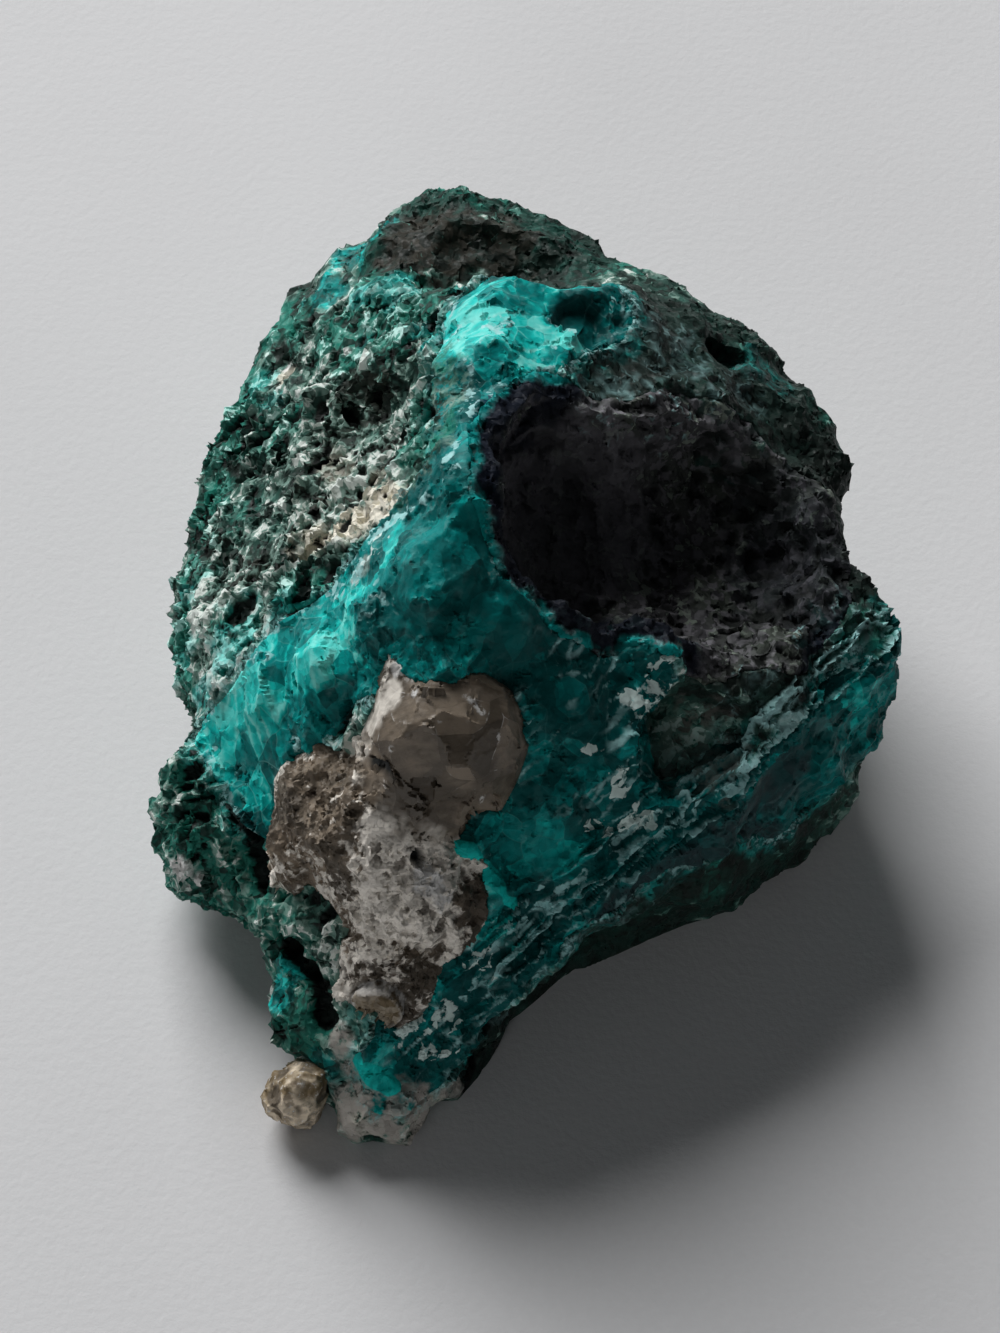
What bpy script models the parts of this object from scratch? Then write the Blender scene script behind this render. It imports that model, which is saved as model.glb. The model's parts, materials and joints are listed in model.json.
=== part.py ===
"""A rough specimen of dioptase: a broken lump of dark ore rock crossed by a thick blue-green vein,
with a lump of brown quartz set in its front, a dark hollow lined with tiny crystals, and a pebble of
the same quartz at its toe.

Run with: blender --background --python part.py
Metres, +Z up, +Y towards the back, origin in the middle of the footprint on the surface it rests on.
"""

import bmesh
import bpy
from mathutils import Matrix, Vector, noise

# Driving dimensions, in metres.
WIDTH = 0.0500
LENGTH = 0.0670
HEIGHT = 0.0330
SEAM = 0.0003  # clear gap between minerals that grew against each other
CRUST = 0.0014  # thickness of the crystals that line the hollow
ROCK_CELL = 0.0012  # cell that the rock's surface is worked in before it is thinned
ZONE_CELL = 0.0011  # the same, for the minerals that are set into the rock
ROCK_KEPT = 0.175  # share of the rock's faces left after thinning
ZONE_KEPT = 0.20
ROCK_RELIEF = 0.0012  # how far the rock's breaks and lumps stand off its plain faces
VEIN_RELIEF = 0.0007
QUARTZ_RELIEF = 0.0008
HOLLOW_RELIEF = 0.0010

# Colour and roughness of each mineral.
FINISHES = {
    "host_rock": ((0.060, 0.085, 0.070), 0.85),
    "dioptase_vein": ((0.010, 0.300, 0.290), 0.40),
    "quartz_mass": ((0.230, 0.180, 0.140), 0.55),
    "hollow_crust": ((0.018, 0.026, 0.022), 0.70),
    "toe_pebble": ((0.300, 0.235, 0.175), 0.75),
}


def spot(across, along, up):
    """A place in the specimen, in percent of its width, length and height from the origin."""
    return Vector((across * WIDTH, along * LENGTH, up * HEIGHT)) / 100


# Corners of the plain break, before anything is carved from it or added to it.
BACK_EDGE = [spot(-8, 50, 52), spot(-3, 49, 52), spot(-21, 48, 42), spot(19, 38, 53), spot(-29, 41, 42)]
CREST = [spot(-4, 19, 88), spot(15, 23, 82), spot(-4, 4, 95), spot(-6, -9, 99), spot(-9, -18, 92)]
RIGHT_EDGE = [spot(40, 26, 54), spot(46, 17, 48), spot(45, 5, 46), spot(55.5, -6, 45),
              spot(31, -24, 50), spot(17, -30, 46)]
RIGHT_FOOT = [spot(48, -15, 9), spot(34, -25, 5), spot(11, -26, 3)]
LEFT_EDGE = [spot(-39, -13, 45), spot(-38, 28, 33), spot(-45, 11, 27), spot(-45, -1, 24)]
TOE = [spot(-14, -47, 18), spot(-13, -51, 3), spot(-21, -52, 3), spot(-3, -42, 3)]
UNDERSIDE = [spot(-12, 42, -5), spot(16, 33, -5), spot(36, 20, -5), spot(40, 2, -5),
             spot(42, -11, -5), spot(29, -20, -5), spot(8, -25, -5), spot(-5, -37, -5),
             spot(-15, -48, -5), spot(-21, -47, -5), spot(-30, -26, -5), spot(-36, -14, -5),
             spot(-38, 5, -5), spot(-32, 23, -5), spot(-24, 36, -5)]
ROCK_CORNERS = BACK_EDGE + CREST + RIGHT_EDGE + RIGHT_FOOT + LEFT_EDGE + TOE + UNDERSIDE

# Lumps and bites below: place, half sizes in metres, turn about +Z in degrees.
ROCK_LUMPS = [
    (spot(-36, -20, 18), (0.0051, 0.0052, 0.0056), 20),
    (spot(-39, -24, 16), (0.0032, 0.0030, 0.0038), 0),
    (spot(-38, -17, 27), (0.0032, 0.0036, 0.0034), 0),
    (spot(-26, -30, 18), (0.0034, 0.0046, 0.0048), 35),
    (spot(-25, -35, 12), (0.0030, 0.0030, 0.0034), 0),
    (spot(-24, -41, 12), (0.0030, 0.0032, 0.0036), 10),
]
# What is broken away through every mineral: the undercut foot, the notch in the right edge,
# the ledge behind the crest.
ROCK_BITES = [
    (spot(19.5, -42.5, 8), (0.0130, 0.0090, 0.0085), 36),
    (spot(60, 6, 30), (0.0080, 0.0080, 0.0140), 0),
    (spot(0, 34, 88), (0.0130, 0.0068, 0.0100), -8),
]
# What is broken away from the vein only.
VEIN_BITES = [
    (spot(17, 19, 88), (0.0036, 0.0034, 0.0032), 30),
    (spot(25, -23, 58), (0.0044, 0.0050, 0.0040), 0),
    (spot(34, -25, 30), (0.0040, 0.0020, 0.0034), 20),
]
# What is broken away from the host rock only, so that the vein stands proud of it.
HOST_BITES = [
    (spot(-25, 9, 82), (0.0075, 0.0105, 0.0080), -14),
    (spot(-25, -2, 62), (0.0024, 0.0018, 0.0034), 20),
    (spot(25, -23, 56), (0.0048, 0.0054, 0.0048), 0),
    (spot(-18, 16, 66), (0.0020, 0.0016, 0.0030), 35),
    (spot(-30, 14, 52), (0.0015, 0.0022, 0.0024), 10),
    (spot(-36, 5, 40), (0.0018, 0.0015, 0.0026), 0),
    (spot(-31, -6, 52), (0.0013, 0.0020, 0.0026), -20),
    (spot(-26, 24, 52), (0.0018, 0.0014, 0.0022), 50),
    (spot(-36, 20, 36), (0.0016, 0.0020, 0.0020), 0),
    (spot(30, 22, 64), (0.0024, 0.0017, 0.0022), 20),
]

# The vein: bands of (place, half thickness in metres) along the lines where it shows.
CREST_BAND = [
    (spot(11, 21, 81), 0.0036),
    (spot(6, 20, 84), 0.0046),
    (spot(0, 17, 86), 0.0046),
    (spot(-1, 11, 88), 0.0042),
    (spot(-3, 4, 91), 0.0028),
    (spot(-4, -2, 92), 0.0024),
    (spot(-6, -7, 88), 0.0040),
    (spot(-8, -11, 84), 0.0062),
    (spot(-7, -16, 80), 0.0064),
]
ARM_BAND = [
    (spot(-12, -13, 80), 0.0050),
    (spot(-21, -15.5, 67), 0.0045),
    (spot(-28, -17, 55), 0.0042),
    (spot(-35, -17.5, 41), 0.0039),
    (spot(-31, -21, 40), 0.0034),
    (spot(-29, -24, 38), 0.0026),
]
FRONT_BAND = [
    (spot(3, -16, 74), 0.0070),
    (spot(9, -19, 66), 0.0072),
    (spot(8, -25, 58), 0.0062),
    (spot(4, -31, 44), 0.0056),
    (spot(-2, -37, 34), 0.0046),
    (spot(-8, -42, 23), 0.0038),
    (spot(-13, -46, 15), 0.0032),
]
WALL_BAND = [
    (spot(50, -8, 36), 0.0042),
    (spot(43, -14, 35), 0.0050),
    (spot(36, -19, 34), 0.0046),
    (spot(29, -24, 40), 0.0032),
    (spot(21, -28, 41), 0.0032),
    (spot(11, -32, 40), 0.0034),
]
QUARTZ_LUMPS = [
    (spot(-7, -24, 63), (0.0055, 0.0050, 0.0060), 15),
    (spot(-14, -29, 45), (0.0052, 0.0050, 0.0058), 20),
    (spot(-20, -26, 42), (0.0046, 0.0052, 0.0050), 25),
    (spot(-24, -28, 35), (0.0030, 0.0036, 0.0042), 10),
    (spot(-11, -33, 37), (0.0052, 0.0050, 0.0056), -20),
    (spot(-14, -38, 26), (0.0038, 0.0042, 0.0046), 0),
    (spot(-13, -18, 72), (0.0012, 0.0014, 0.0026), 0),
]
HOLLOW_LUMPS = [
    (spot(10, -4, 85), (0.0060, 0.0082, 0.0110), 8),
    (spot(30, -2, 73), (0.0096, 0.0094, 0.0085), 0),
]
PEBBLE = (spot(-27, -47, 8), (0.0027, 0.0025, 0.0026), 30)


def fresh_scene():
    for old in list(bpy.data.objects):
        bpy.data.objects.remove(old)
    made = bpy.data.collections.new("dioptase_specimen")
    bpy.context.scene.collection.children.link(made)
    return made


SPECIMEN = fresh_scene()


def add(name, mesh):
    made = bpy.data.objects.new(name, mesh)
    SPECIMEN.objects.link(made)
    return made


def settle(piece):
    """Turns a piece's modifiers, or a curve's tube, into its own mesh."""
    bpy.context.view_layer.update()
    graph = bpy.context.evaluated_depsgraph_get()
    mesh = bpy.data.meshes.new_from_object(piece.evaluated_get(graph))
    shape = bmesh.new()
    shape.from_mesh(mesh)
    bmesh.ops.remove_doubles(shape, verts=shape.verts, dist=1e-6)
    shape.to_mesh(mesh)
    shape.free()
    made = add(piece.name + "_settled", mesh)
    made.matrix_world = piece.matrix_world
    name = piece.name
    bpy.data.objects.remove(piece)
    made.name = name
    return made


def modify(piece, kind, **settings):
    modifier = piece.modifiers.new(kind.lower(), kind)
    for key, value in settings.items():
        setattr(modifier, key, value)
    return settle(piece)


def block(name, corners):
    """The convex break that these corners span."""
    shape = bmesh.new()
    for corner in corners:
        shape.verts.new(corner)
    hull = bmesh.ops.convex_hull(shape, input=shape.verts)
    spare = [v for v in hull["geom_interior"] if isinstance(v, bmesh.types.BMVert)]
    bmesh.ops.delete(shape, geom=spare, context="VERTS")
    bmesh.ops.recalc_face_normals(shape, faces=shape.faces)
    mesh = bpy.data.meshes.new(name)
    shape.to_mesh(mesh)
    shape.free()
    return add(name, mesh)


def boulder(name, place, half_sizes, turn=0.0):
    """An egg-shaped lump, turned about +Z by so many degrees."""
    shape = bmesh.new()
    bmesh.ops.create_icosphere(shape, subdivisions=4, radius=1.0)
    mesh = bpy.data.meshes.new(name)
    shape.to_mesh(mesh)
    shape.free()
    turned = Matrix.Rotation(turn * 3.14159 / 180, 4, "Z") @ Matrix.Diagonal((*half_sizes, 1))
    mesh.transform(Matrix.Translation(place) @ turned)
    return add(name, mesh)


def band(name, stations):
    """A tube that follows these places, with the half thickness given at each."""
    line = bpy.data.curves.new(name, "CURVE")
    line.dimensions = "3D"
    line.bevel_depth = 1.0
    line.bevel_resolution = 3
    line.use_fill_caps = True
    spline = line.splines.new("POLY")
    spline.points.add(len(stations) - 1)
    for point, (place, half_thickness) in zip(spline.points, stations):
        point.co = (*place, 1)
        point.radius = half_thickness
    ends = [boulder(name + "_end", place, (half,) * 3) for place, half in (stations[0], stations[-1])]
    return [settle(add(name, line)), *ends]


def fuse(name, pieces, cell):
    """Several overlapping pieces as one closed body with an even surface."""
    shape = bmesh.new()
    for piece in pieces:
        shape.from_mesh(piece.data)
        bpy.data.objects.remove(piece)
    mesh = bpy.data.meshes.new(name)
    shape.to_mesh(mesh)
    shape.free()
    return modify(add(name, mesh), "REMESH", mode="VOXEL", voxel_size=cell)


def roughen(piece, relief, size, seed):
    """Breaks up a smooth surface: chips a few millimetres across and finer lumps on them."""
    shift = Vector((seed * 7.3, seed * 3.1, seed * 5.7))
    shape = bmesh.new()
    shape.from_mesh(piece.data)
    shape.normal_update()
    for vert in shape.verts:
        place = vert.co / size + shift
        near, next_nearest = noise.voronoi(place)[0][:2]
        chips = min(next_nearest - near, 0.6) / 0.6
        lumps = noise.fractal(place * 1.7, 0.9, 2.1, 4)
        vert.co += vert.normal * relief * (0.8 * chips - 0.5 + 0.7 * lumps)
    shape.to_mesh(piece.data)
    shape.free()
    return piece


def swell(piece, by):
    """A copy of a closed body whose surface stands that far outside the body's own."""
    made = add(piece.name + "_swollen", piece.data.copy())
    return modify(made, "DISPLACE", strength=by, mid_level=0.0)


def boolean(piece, other, operation):
    return modify(piece, "BOOLEAN", operation=operation, object=other, solver="EXACT", use_self=True)


def largest_body(piece):
    """Drops the crumbs that a cut leaves beside the main body."""
    shape = bmesh.new()
    shape.from_mesh(piece.data)
    unseen = set(shape.verts)
    bodies = []
    while unseen:
        body, edge_of_search = set(), [unseen.pop()]
        while edge_of_search:
            vert = edge_of_search.pop()
            body.add(vert)
            near = {edge.other_vert(vert) for edge in vert.link_edges} & unseen
            unseen -= near
            edge_of_search += near
        bodies.append(body)
    bodies.sort(key=len)
    crumbs = [vert for body in bodies[:-1] for vert in body]
    bmesh.ops.delete(shape, geom=crumbs, context="VERTS")
    shape.to_mesh(piece.data)
    shape.free()
    return piece


def thin(piece, kept):
    return modify(piece, "DECIMATE", ratio=kept, use_collapse_triangulate=True)


def rock_body():
    lumps = [boulder("lump", *lump) for lump in ROCK_LUMPS]
    body = fuse("host_rock", [block("break", ROCK_CORNERS), *lumps], ROCK_CELL)
    bites = fuse("bites", [boulder("bite", *bite) for bite in ROCK_BITES], ROCK_CELL)
    body = fuse("host_rock", [boolean(body, bites, "DIFFERENCE")], ROCK_CELL)
    body = thin(roughen(body, ROCK_RELIEF, 0.0062, seed=1), ROCK_KEPT)
    ground = block("ground", [Vector((x * WIDTH, y * LENGTH, z)) for x in (-1, 1) for y in (-1, 1)
                              for z in (-HEIGHT, 0)])
    body = boolean(body, ground, "DIFFERENCE")
    remove(bites, ground)
    return body


def vein_zone():
    bands = [piece for stations in (CREST_BAND, ARM_BAND, FRONT_BAND, WALL_BAND)
             for piece in band("band", stations)]
    zone = fuse("dioptase_vein", bands, ZONE_CELL)
    return thin(roughen(zone, VEIN_RELIEF, 0.0050, seed=2), ZONE_KEPT)


def quartz_mass():
    mass = fuse("quartz_mass", [boulder("lump", *lump) for lump in QUARTZ_LUMPS], ZONE_CELL)
    return thin(roughen(mass, QUARTZ_RELIEF, 0.0044, seed=3), ZONE_KEPT)


def hollow(name, wider=0.0):
    """The open space of the hollow, or that space with its walls set back."""
    lumps = [boulder("lump", place, [half + wider for half in half_sizes], turn)
             for place, half_sizes, turn in HOLLOW_LUMPS]
    return thin(roughen(fuse(name, lumps, ZONE_CELL), HOLLOW_RELIEF, 0.0050, seed=4), ZONE_KEPT)


def toe_pebble():
    pebble = fuse("toe_pebble", [boulder("pebble", *PEBBLE)], 0.0006)
    return thin(roughen(pebble, 0.0004, 0.0026, seed=5), ZONE_KEPT)


def bitten(piece, bites, seed):
    """A mineral with rough bites taken out of it, and without the crumbs that they leave."""
    cutter = fuse("bites", [boulder("bite", *bite) for bite in bites], ZONE_CELL)
    cutter = thin(roughen(cutter, HOLLOW_RELIEF, 0.0050, seed), ZONE_KEPT)
    piece = largest_body(boolean(piece, cutter, "DIFFERENCE"))
    remove(cutter)
    return piece


def remove(*pieces):
    for piece in pieces:
        bpy.data.objects.remove(piece)


def centre(pieces):
    """Moves everything so that the origin is in the middle of the footprint."""
    places = [vert.co for piece in pieces for vert in piece.data.vertices]
    middle = [(min(p[axis] for p in places) + max(p[axis] for p in places)) / 2 for axis in (0, 1)]
    for piece in pieces:
        piece.data.transform(Matrix.Translation((-middle[0], -middle[1], 0)))


def finish(piece):
    colour, roughness = FINISHES[piece.name]
    material = bpy.data.materials.new(piece.name)
    material.use_nodes = True
    shader = material.node_tree.nodes["Principled BSDF"]
    shader.inputs["Base Color"].default_value = (*colour, 1)
    shader.inputs["Roughness"].default_value = roughness
    shader.inputs["Metallic"].default_value = 0.0
    material.diffuse_color = (*colour, 1)
    piece.data.materials.clear()
    piece.data.materials.append(material)


def build():
    body = rock_body()
    zone = vein_zone()
    quartz = quartz_mass()
    pebble = toe_pebble()
    inner = hollow("open_space")
    space = hollow("lined_space", CRUST)

    crust = add("hollow_crust", body.data.copy())
    crust = boolean(crust, space, "INTERSECT")
    crust = largest_body(boolean(crust, inner, "DIFFERENCE"))

    space_cutter = swell(space, SEAM)
    quartz_cutter = swell(quartz, SEAM)
    pebble_cutter = swell(pebble, SEAM)
    zone_cutter = swell(zone, SEAM)
    for cutter in (space_cutter, quartz_cutter, pebble_cutter):
        body = boolean(body, cutter, "DIFFERENCE")
    vein = add("vein_piece", body.data.copy())
    vein = bitten(boolean(vein, zone, "INTERSECT"), VEIN_BITES, seed=7)
    body = bitten(boolean(body, zone_cutter, "DIFFERENCE"), HOST_BITES, seed=6)
    remove(space, inner, space_cutter, quartz_cutter, pebble_cutter, zone_cutter, zone)
    vein.name = "dioptase_vein"
    pieces = [body, vein, quartz, crust, pebble]
    centre(pieces)
    for piece in pieces:
        finish(piece)
    return pieces


build()
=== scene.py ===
"""Looks of a rough dioptase specimen: broken ore rock, a blue-green vein, brown quartz, a hollow lined
with dark crystals and a small pebble, each worked up from its plain solid, on a pale sheet."""

import json
import math

import bmesh
import bpy
import numpy as np
from bpy.props import FloatProperty, FloatVectorProperty, IntProperty, PointerProperty
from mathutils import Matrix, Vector
from mathutils.bvhtree import BVHTree

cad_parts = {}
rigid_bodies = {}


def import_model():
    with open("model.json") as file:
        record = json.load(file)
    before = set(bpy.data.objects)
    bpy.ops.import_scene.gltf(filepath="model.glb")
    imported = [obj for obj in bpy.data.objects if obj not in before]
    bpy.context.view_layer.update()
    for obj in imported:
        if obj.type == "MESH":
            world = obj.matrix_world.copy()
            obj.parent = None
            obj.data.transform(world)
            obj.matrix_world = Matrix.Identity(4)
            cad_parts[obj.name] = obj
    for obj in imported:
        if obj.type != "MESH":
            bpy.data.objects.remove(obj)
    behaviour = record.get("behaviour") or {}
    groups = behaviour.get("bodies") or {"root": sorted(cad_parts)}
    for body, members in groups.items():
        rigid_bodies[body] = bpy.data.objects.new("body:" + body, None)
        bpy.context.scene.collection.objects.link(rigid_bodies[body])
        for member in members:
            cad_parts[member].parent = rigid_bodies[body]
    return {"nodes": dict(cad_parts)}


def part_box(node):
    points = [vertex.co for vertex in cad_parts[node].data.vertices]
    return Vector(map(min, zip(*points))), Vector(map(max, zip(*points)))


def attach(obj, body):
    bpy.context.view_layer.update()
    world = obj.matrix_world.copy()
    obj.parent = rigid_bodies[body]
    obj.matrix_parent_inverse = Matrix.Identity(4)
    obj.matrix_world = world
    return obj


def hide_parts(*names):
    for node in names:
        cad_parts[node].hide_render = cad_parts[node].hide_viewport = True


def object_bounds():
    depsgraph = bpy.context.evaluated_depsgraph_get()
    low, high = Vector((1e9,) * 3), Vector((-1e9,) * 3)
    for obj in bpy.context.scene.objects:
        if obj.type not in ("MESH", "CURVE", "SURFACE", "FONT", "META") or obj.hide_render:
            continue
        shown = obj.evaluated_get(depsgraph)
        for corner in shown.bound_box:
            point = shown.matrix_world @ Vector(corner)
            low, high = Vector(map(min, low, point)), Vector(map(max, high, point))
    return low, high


bl_info = {
    "name": "Dioptase Specimen",
    "version": (1, 0, 0),
    "blender": (4, 5, 0),
    "location": "3D View > Sidebar > Specimen",
    "description": "Dresses the minerals of a rough dioptase specimen and sets its stage",
    "category": "Object",
}

for leftover in list(bpy.data.objects):
    bpy.data.objects.remove(leftover)
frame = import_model()
CAD_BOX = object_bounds()
MM = 0.001

# Meshes. Lengths are in millimetres.
EDGE_ANGLE = 28                     # degrees from which an edge is drawn sharp
WELD = 1e-6                         # metres within which vertices are one
NEIGHBOUR_REACH = 3.0               # how far a mineral looks for its neighbours
TOUCHING, OPPOSED = 0.8, -0.4       # gap and facing at which a place is hidden by a neighbour
SEAM_OVERLAP = 0.16                 # how far a mineral is pushed into its neighbour
HIDDEN_SHARE, QUARTZ_HIDDEN_SHARE = 0.1, 0.15   # share of the relief that hidden places keep
FOOT = (0.2, 1.4)                   # heights between which the relief fades in above the ground
OUTER_PERCENTILES = (4, 96)         # the relief's lowest and highest places, leaving out the extremes

# Directions along which patterns are drawn out.
VEIN_RUN, ARM_RUN, RIB_RUN = (-0.77, -0.53, -0.35), (0.22, -0.75, -0.62), (-0.75, -0.63, -0.22)
PIT_RUN = (0.55, 0.5, 0.6)

# The round knob at the foot of the quartz: its middle, and the distances of its edge, groove and rim.
KNOB_MIDDLE = (-9.2, -28.0, 9.3)
KNOB_RADIUS, KNOB_GROOVE, KNOB_RIM = 1.75, 1.85, 1.62
PEBBLE_SHARES = (0.86, 0.90, 0.86)  # size of the pebble beside its plain solid

# Camera. Lengths are in millimetres, apart from the clip start.
VIEW_TARGET = (-1.448, -3.689, 14.0)
AIM_BELOW = 1.09
SENSOR_WIDTH = 36.0
CLIP_START = 0.01

# Places are in millimetres from the middle of the footprint: across, back, up. A line is its places,
# half width and strength, and a patch is its middle, radius and strength.
# Pale, powdery lines along the edges of the vein.
POWDER_LINES = [
    ([(-4.4, 15.9, 26.5), (-3.9, 12.0, 28.0), (-3.4, 7.2, 30.5), (-2.9, 5.5, 30.0)], 0.55, 0.8),
    ([(1.5, 13.2, 27.9), (3.5, 11.4, 28.3), (3.6, 10.6, 27.8)], 0.22, 1.0),
    ([(2.0, 12.1, 28.0), (1.7, 10.0, 28.5), (0.8, 7.8, 28.9)], 0.5, 0.7),
    ([(-2.6, 4.7, 30.4), (-1.4, 5.6, 30.1), (-0.2, 7.0, 29.1), (1.5, 8.1, 28.6), (3.5, 10.3, 26.9),
      (5.1, 11.5, 26.6)], 0.35, 0.8),
    ([(6.0, 16.0, 26.4), (5.7, 13.6, 26.1), (5.1, 11.5, 26.6)], 0.4, 0.8),
    ([(-2.9, 4.9, 30.2), (-3.9, 1.6, 31.3), (-4.3, -1.1, 31.8), (-5.2, -2.5, 31.2)], 0.6, 0.9),
    ([(-4.3, -2.6, 32.2), (-5.5, -3.4, 30.6), (-7.8, -3.2, 27.8), (-9.7, -4.0, 26.2),
      (-10.7, -5.8, 24.8)], 0.45, 1.0),
    ([(-2.5, -4.5, 31.5), (-2.2, -7.7, 29.5), (-1.1, -9.4, 28.8), (0.4, -9.4, 26.9), (2.3, -9.5, 26.4),
      (5.0, -9.5, 25.0), (7.5, -8.1, 23.4)], 0.4, 0.9),
    ([(1.4, -10.8, 25.8), (-0.2, -13.8, 24.0), (-1.1, -16.5, 24.1)], 0.25, 0.6),
    ([(4.0, -10.5, 25.3), (1.7, -12.5, 24.5), (0.4, -15.2, 22.8)], 0.25, 0.6),
    ([(6.2, -9.8, 22.8), (4.9, -12.5, 22.1), (2.3, -15.4, 21.9)], 0.22, 0.6),
    ([(23.8, -3.8, 16.0), (21.1, -6.0, 16.7), (18.0, -9.3, 17.5), (16.0, -11.2, 16.8),
      (14.3, -13.2, 15.8), (13.6, -15.1, 15.9)], 0.45, 0.8),
    ([(22.2, -4.9, 16.9), (19.4, -7.0, 16.4), (17.0, -10.0, 17.4), (15.0, -11.6, 16.9)], 0.3, 0.7),
    ([(18.0, -10.1, 16.9), (16.3, -12.0, 16.2), (14.7, -13.8, 15.5)], 0.3, 0.6),
    ([(13.6, -15.1, 15.9), (11.4, -16.6, 15.3), (9.5, -17.7, 13.8), (7.5, -18.9, 13.9),
      (4.9, -20.9, 14.4), (2.4, -22.2, 13.4), (0.5, -22.7, 12.0), (-1.4, -24.4, 10.7),
      (-3.0, -26.0, 9.6), (-4.3, -27.5, 7.7)], 0.55, 0.9),
    ([(10.7, -16.1, 16.1), (8.2, -17.8, 15.2), (6.2, -19.1, 14.8), (3.0, -21.2, 14.7),
      (0.5, -22.3, 13.4), (-1.1, -23.6, 11.8)], 0.35, 0.8),
    ([(7.6, -19.7, 12.2), (5.0, -21.7, 12.4), (3.0, -23.1, 10.5), (0.5, -25.1, 10.0),
      (-1.4, -26.5, 8.6), (-3.4, -27.5, 6.5)], 0.3, 0.6),
    ([(-1.8, -23.5, 12.6), (-3.0, -24.2, 12.5), (-3.4, -25.1, 11.4), (-2.1, -25.2, 10.0)], 0.35, 0.9),
    ([(-10.9, -3.2, 24.5), (-11.7, -5.7, 23.5), (-14.3, -6.9, 21.4), (-16.3, -7.8, 19.4),
      (-19.4, -6.4, 15.4), (-21.3, -5.4, 11.9)], 0.6, 0.8),
    ([(-7.7, -11.8, 26.7), (-10.3, -11.0, 24.4), (-12.2, -11.3, 22.9),
      (-15.0, -10.1, 18.6)], 0.35, 0.5),
    ([(-21.6, -5.5, 10.8), (-20.1, -9.7, 12.2), (-19.4, -12.3, 11.4), (-18.7, -14.6, 10.8),
      (-17.7, -16.2, 9.7), (-16.7, -19.4, 8.7)], 0.35, 0.8),
    ([(-14.2, -15.2, 17.3), (-14.5, -13.0, 17.3), (-11.3, -14.5, 19.4)], 0.35, 0.8),
]
# Pale, powdery patches of the vein.
POWDER_PATCHES = [
    ((-1.8, 11.3, 29.0), 1.4, 0.9), ((-2.2, 8.7, 30.6), 0.9, 0.6), ((7.5, -8.0, 23.4), 1.0, 0.9),
    ((9.1, -9.5, 22.8), 0.8, 0.7), ((7.5, -12.5, 21.0), 1.3, 1.0), ((6.0, -16.7, 18.1), 1.0, 0.9),
    ((4.6, -18.5, 16.0), 0.9, 0.8), ((7.2, -18.0, 15.6), 0.8, 0.9), ((-9.3, -9.1, 27.2), 1.2, 0.8),
    ((-10.0, -5.7, 25.7), 1.0, 0.9), ((-4.3, -20.3, 17.3), 0.7, 1.0),
]
# The band of parallel ribs that runs down to the toe.
RIB_BAND = [
    ([(23.8, -3.8, 16.0), (18.0, -9.3, 17.3), (13.6, -15.1, 15.7), (9.5, -17.7, 14.2),
      (4.9, -20.9, 14.0), (0.5, -22.9, 12.0), (-4.3, -27.5, 7.7)], 2.3, 1.0),
]
# The small bar of clear crystal by the quartz, and the turquoise patch at the toe.
CRYSTAL_BAR = [
    ([(-3.6, -20.9, 16.9), (-2.1, -21.6, 14.6), (-0.9, -22.5, 13.4)], 0.66, 1.0),
    ([(-10.4, -29.0, 6.6), (-9.7, -30.2, 5.2), (-8.6, -31.0, 4.2)], 1.0, 1.0),
]
# Crumbs of white mineral on the vein.
WHITE_CRUMBS = [
    ((7.5, -8.0, 23.4), 1.0, 1.0), ((9.1, -9.5, 22.8), 0.9, 0.9), ((8.4, -11.6, 20.8), 1.0, 0.9),
    ((7.5, -12.5, 21.0), 1.3, 1.0), ((6.0, -16.7, 18.1), 1.1, 1.0), ((4.6, -18.5, 16.0), 1.0, 0.9),
    ((7.2, -18.0, 15.6), 1.0, 0.9), ((8.6, -10.2, 21.8), 0.8, 0.8), ((3.9, -15.4, 19.8), 0.9, 0.8),
    ((2.2, -10.0, 26.2), 0.8, 0.7), ((-2.0, -8.6, 29.2), 0.7, 0.7), ((-9.3, -9.1, 27.2), 0.8, 0.6),
    ((-8.8, -4.6, 26.8), 1.0, 0.7), ((-10.2, -6.0, 25.3), 0.9, 0.6), ((-21.0, -6.6, 12.0), 1.0, 0.8),
    ((-17.6, -15.6, 10.9), 0.9, 0.8), ((-12.2, -28.0, 7.0), 0.9, 0.8), ((-7.2, -28.4, 7.8), 1.4, 1.0),
    ((-6.2, -29.6, 5.6), 0.7, 0.7), ((-4.6, -29.2, 5.2), 0.6, 0.7), ((-5.0, -28.0, 7.4), 1.2, 0.8),
    ((-2.6, -25.6, 10.4), 1.2, 0.9), ((-4.2, -20.6, 17.2), 0.5, 1.0),
]
# Grey slaty faces below the ribs.
SLATE_PATCHES = [
    ((13.2, -16.6, 11.0), 3.8, 1.0), ((9.8, -18.9, 9.8), 3.8, 1.0), ((6.2, -21.0, 8.8), 3.6, 1.0),
    ((2.6, -23.6, 6.8), 2.6, 0.9), ((-0.6, -26.0, 4.4), 2.4, 0.8), ((14.5, -15.6, 6.5), 3.6, 1.0),
    ((16.1, -12.8, 11.4), 2.2, 0.9), ((15.1, -14.4, 12.3), 1.6, 0.9), ((17.4, -11.8, 12.6), 1.5, 0.9),
]
# Crevices between the minerals, pressed in and darkened with painted shade.
CREVICES = [
    ([(-18.6, -14.2, 11.6), (-17.7, -15.8, 10.8), (-16.9, -17.7, 9.0), (-15.6, -20.6, 8.0),
      (-14.4, -23.4, 7.2), (-13.0, -25.8, 8.0), (-12.6, -27.6, 6.8)], 0.75, 1.0),
    ([(-13.6, -14.6, 18.6), (-11.6, -14.4, 20.2), (-10.9, -13.4, 21.4)], 0.55, 1.0),
    ([(-4.2, 17.2, 26.4), (-1.0, 18.6, 25.8), (2.6, 18.4, 25.6), (5.6, 17.8, 25.2)], 0.6, 0.7),
]
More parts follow.
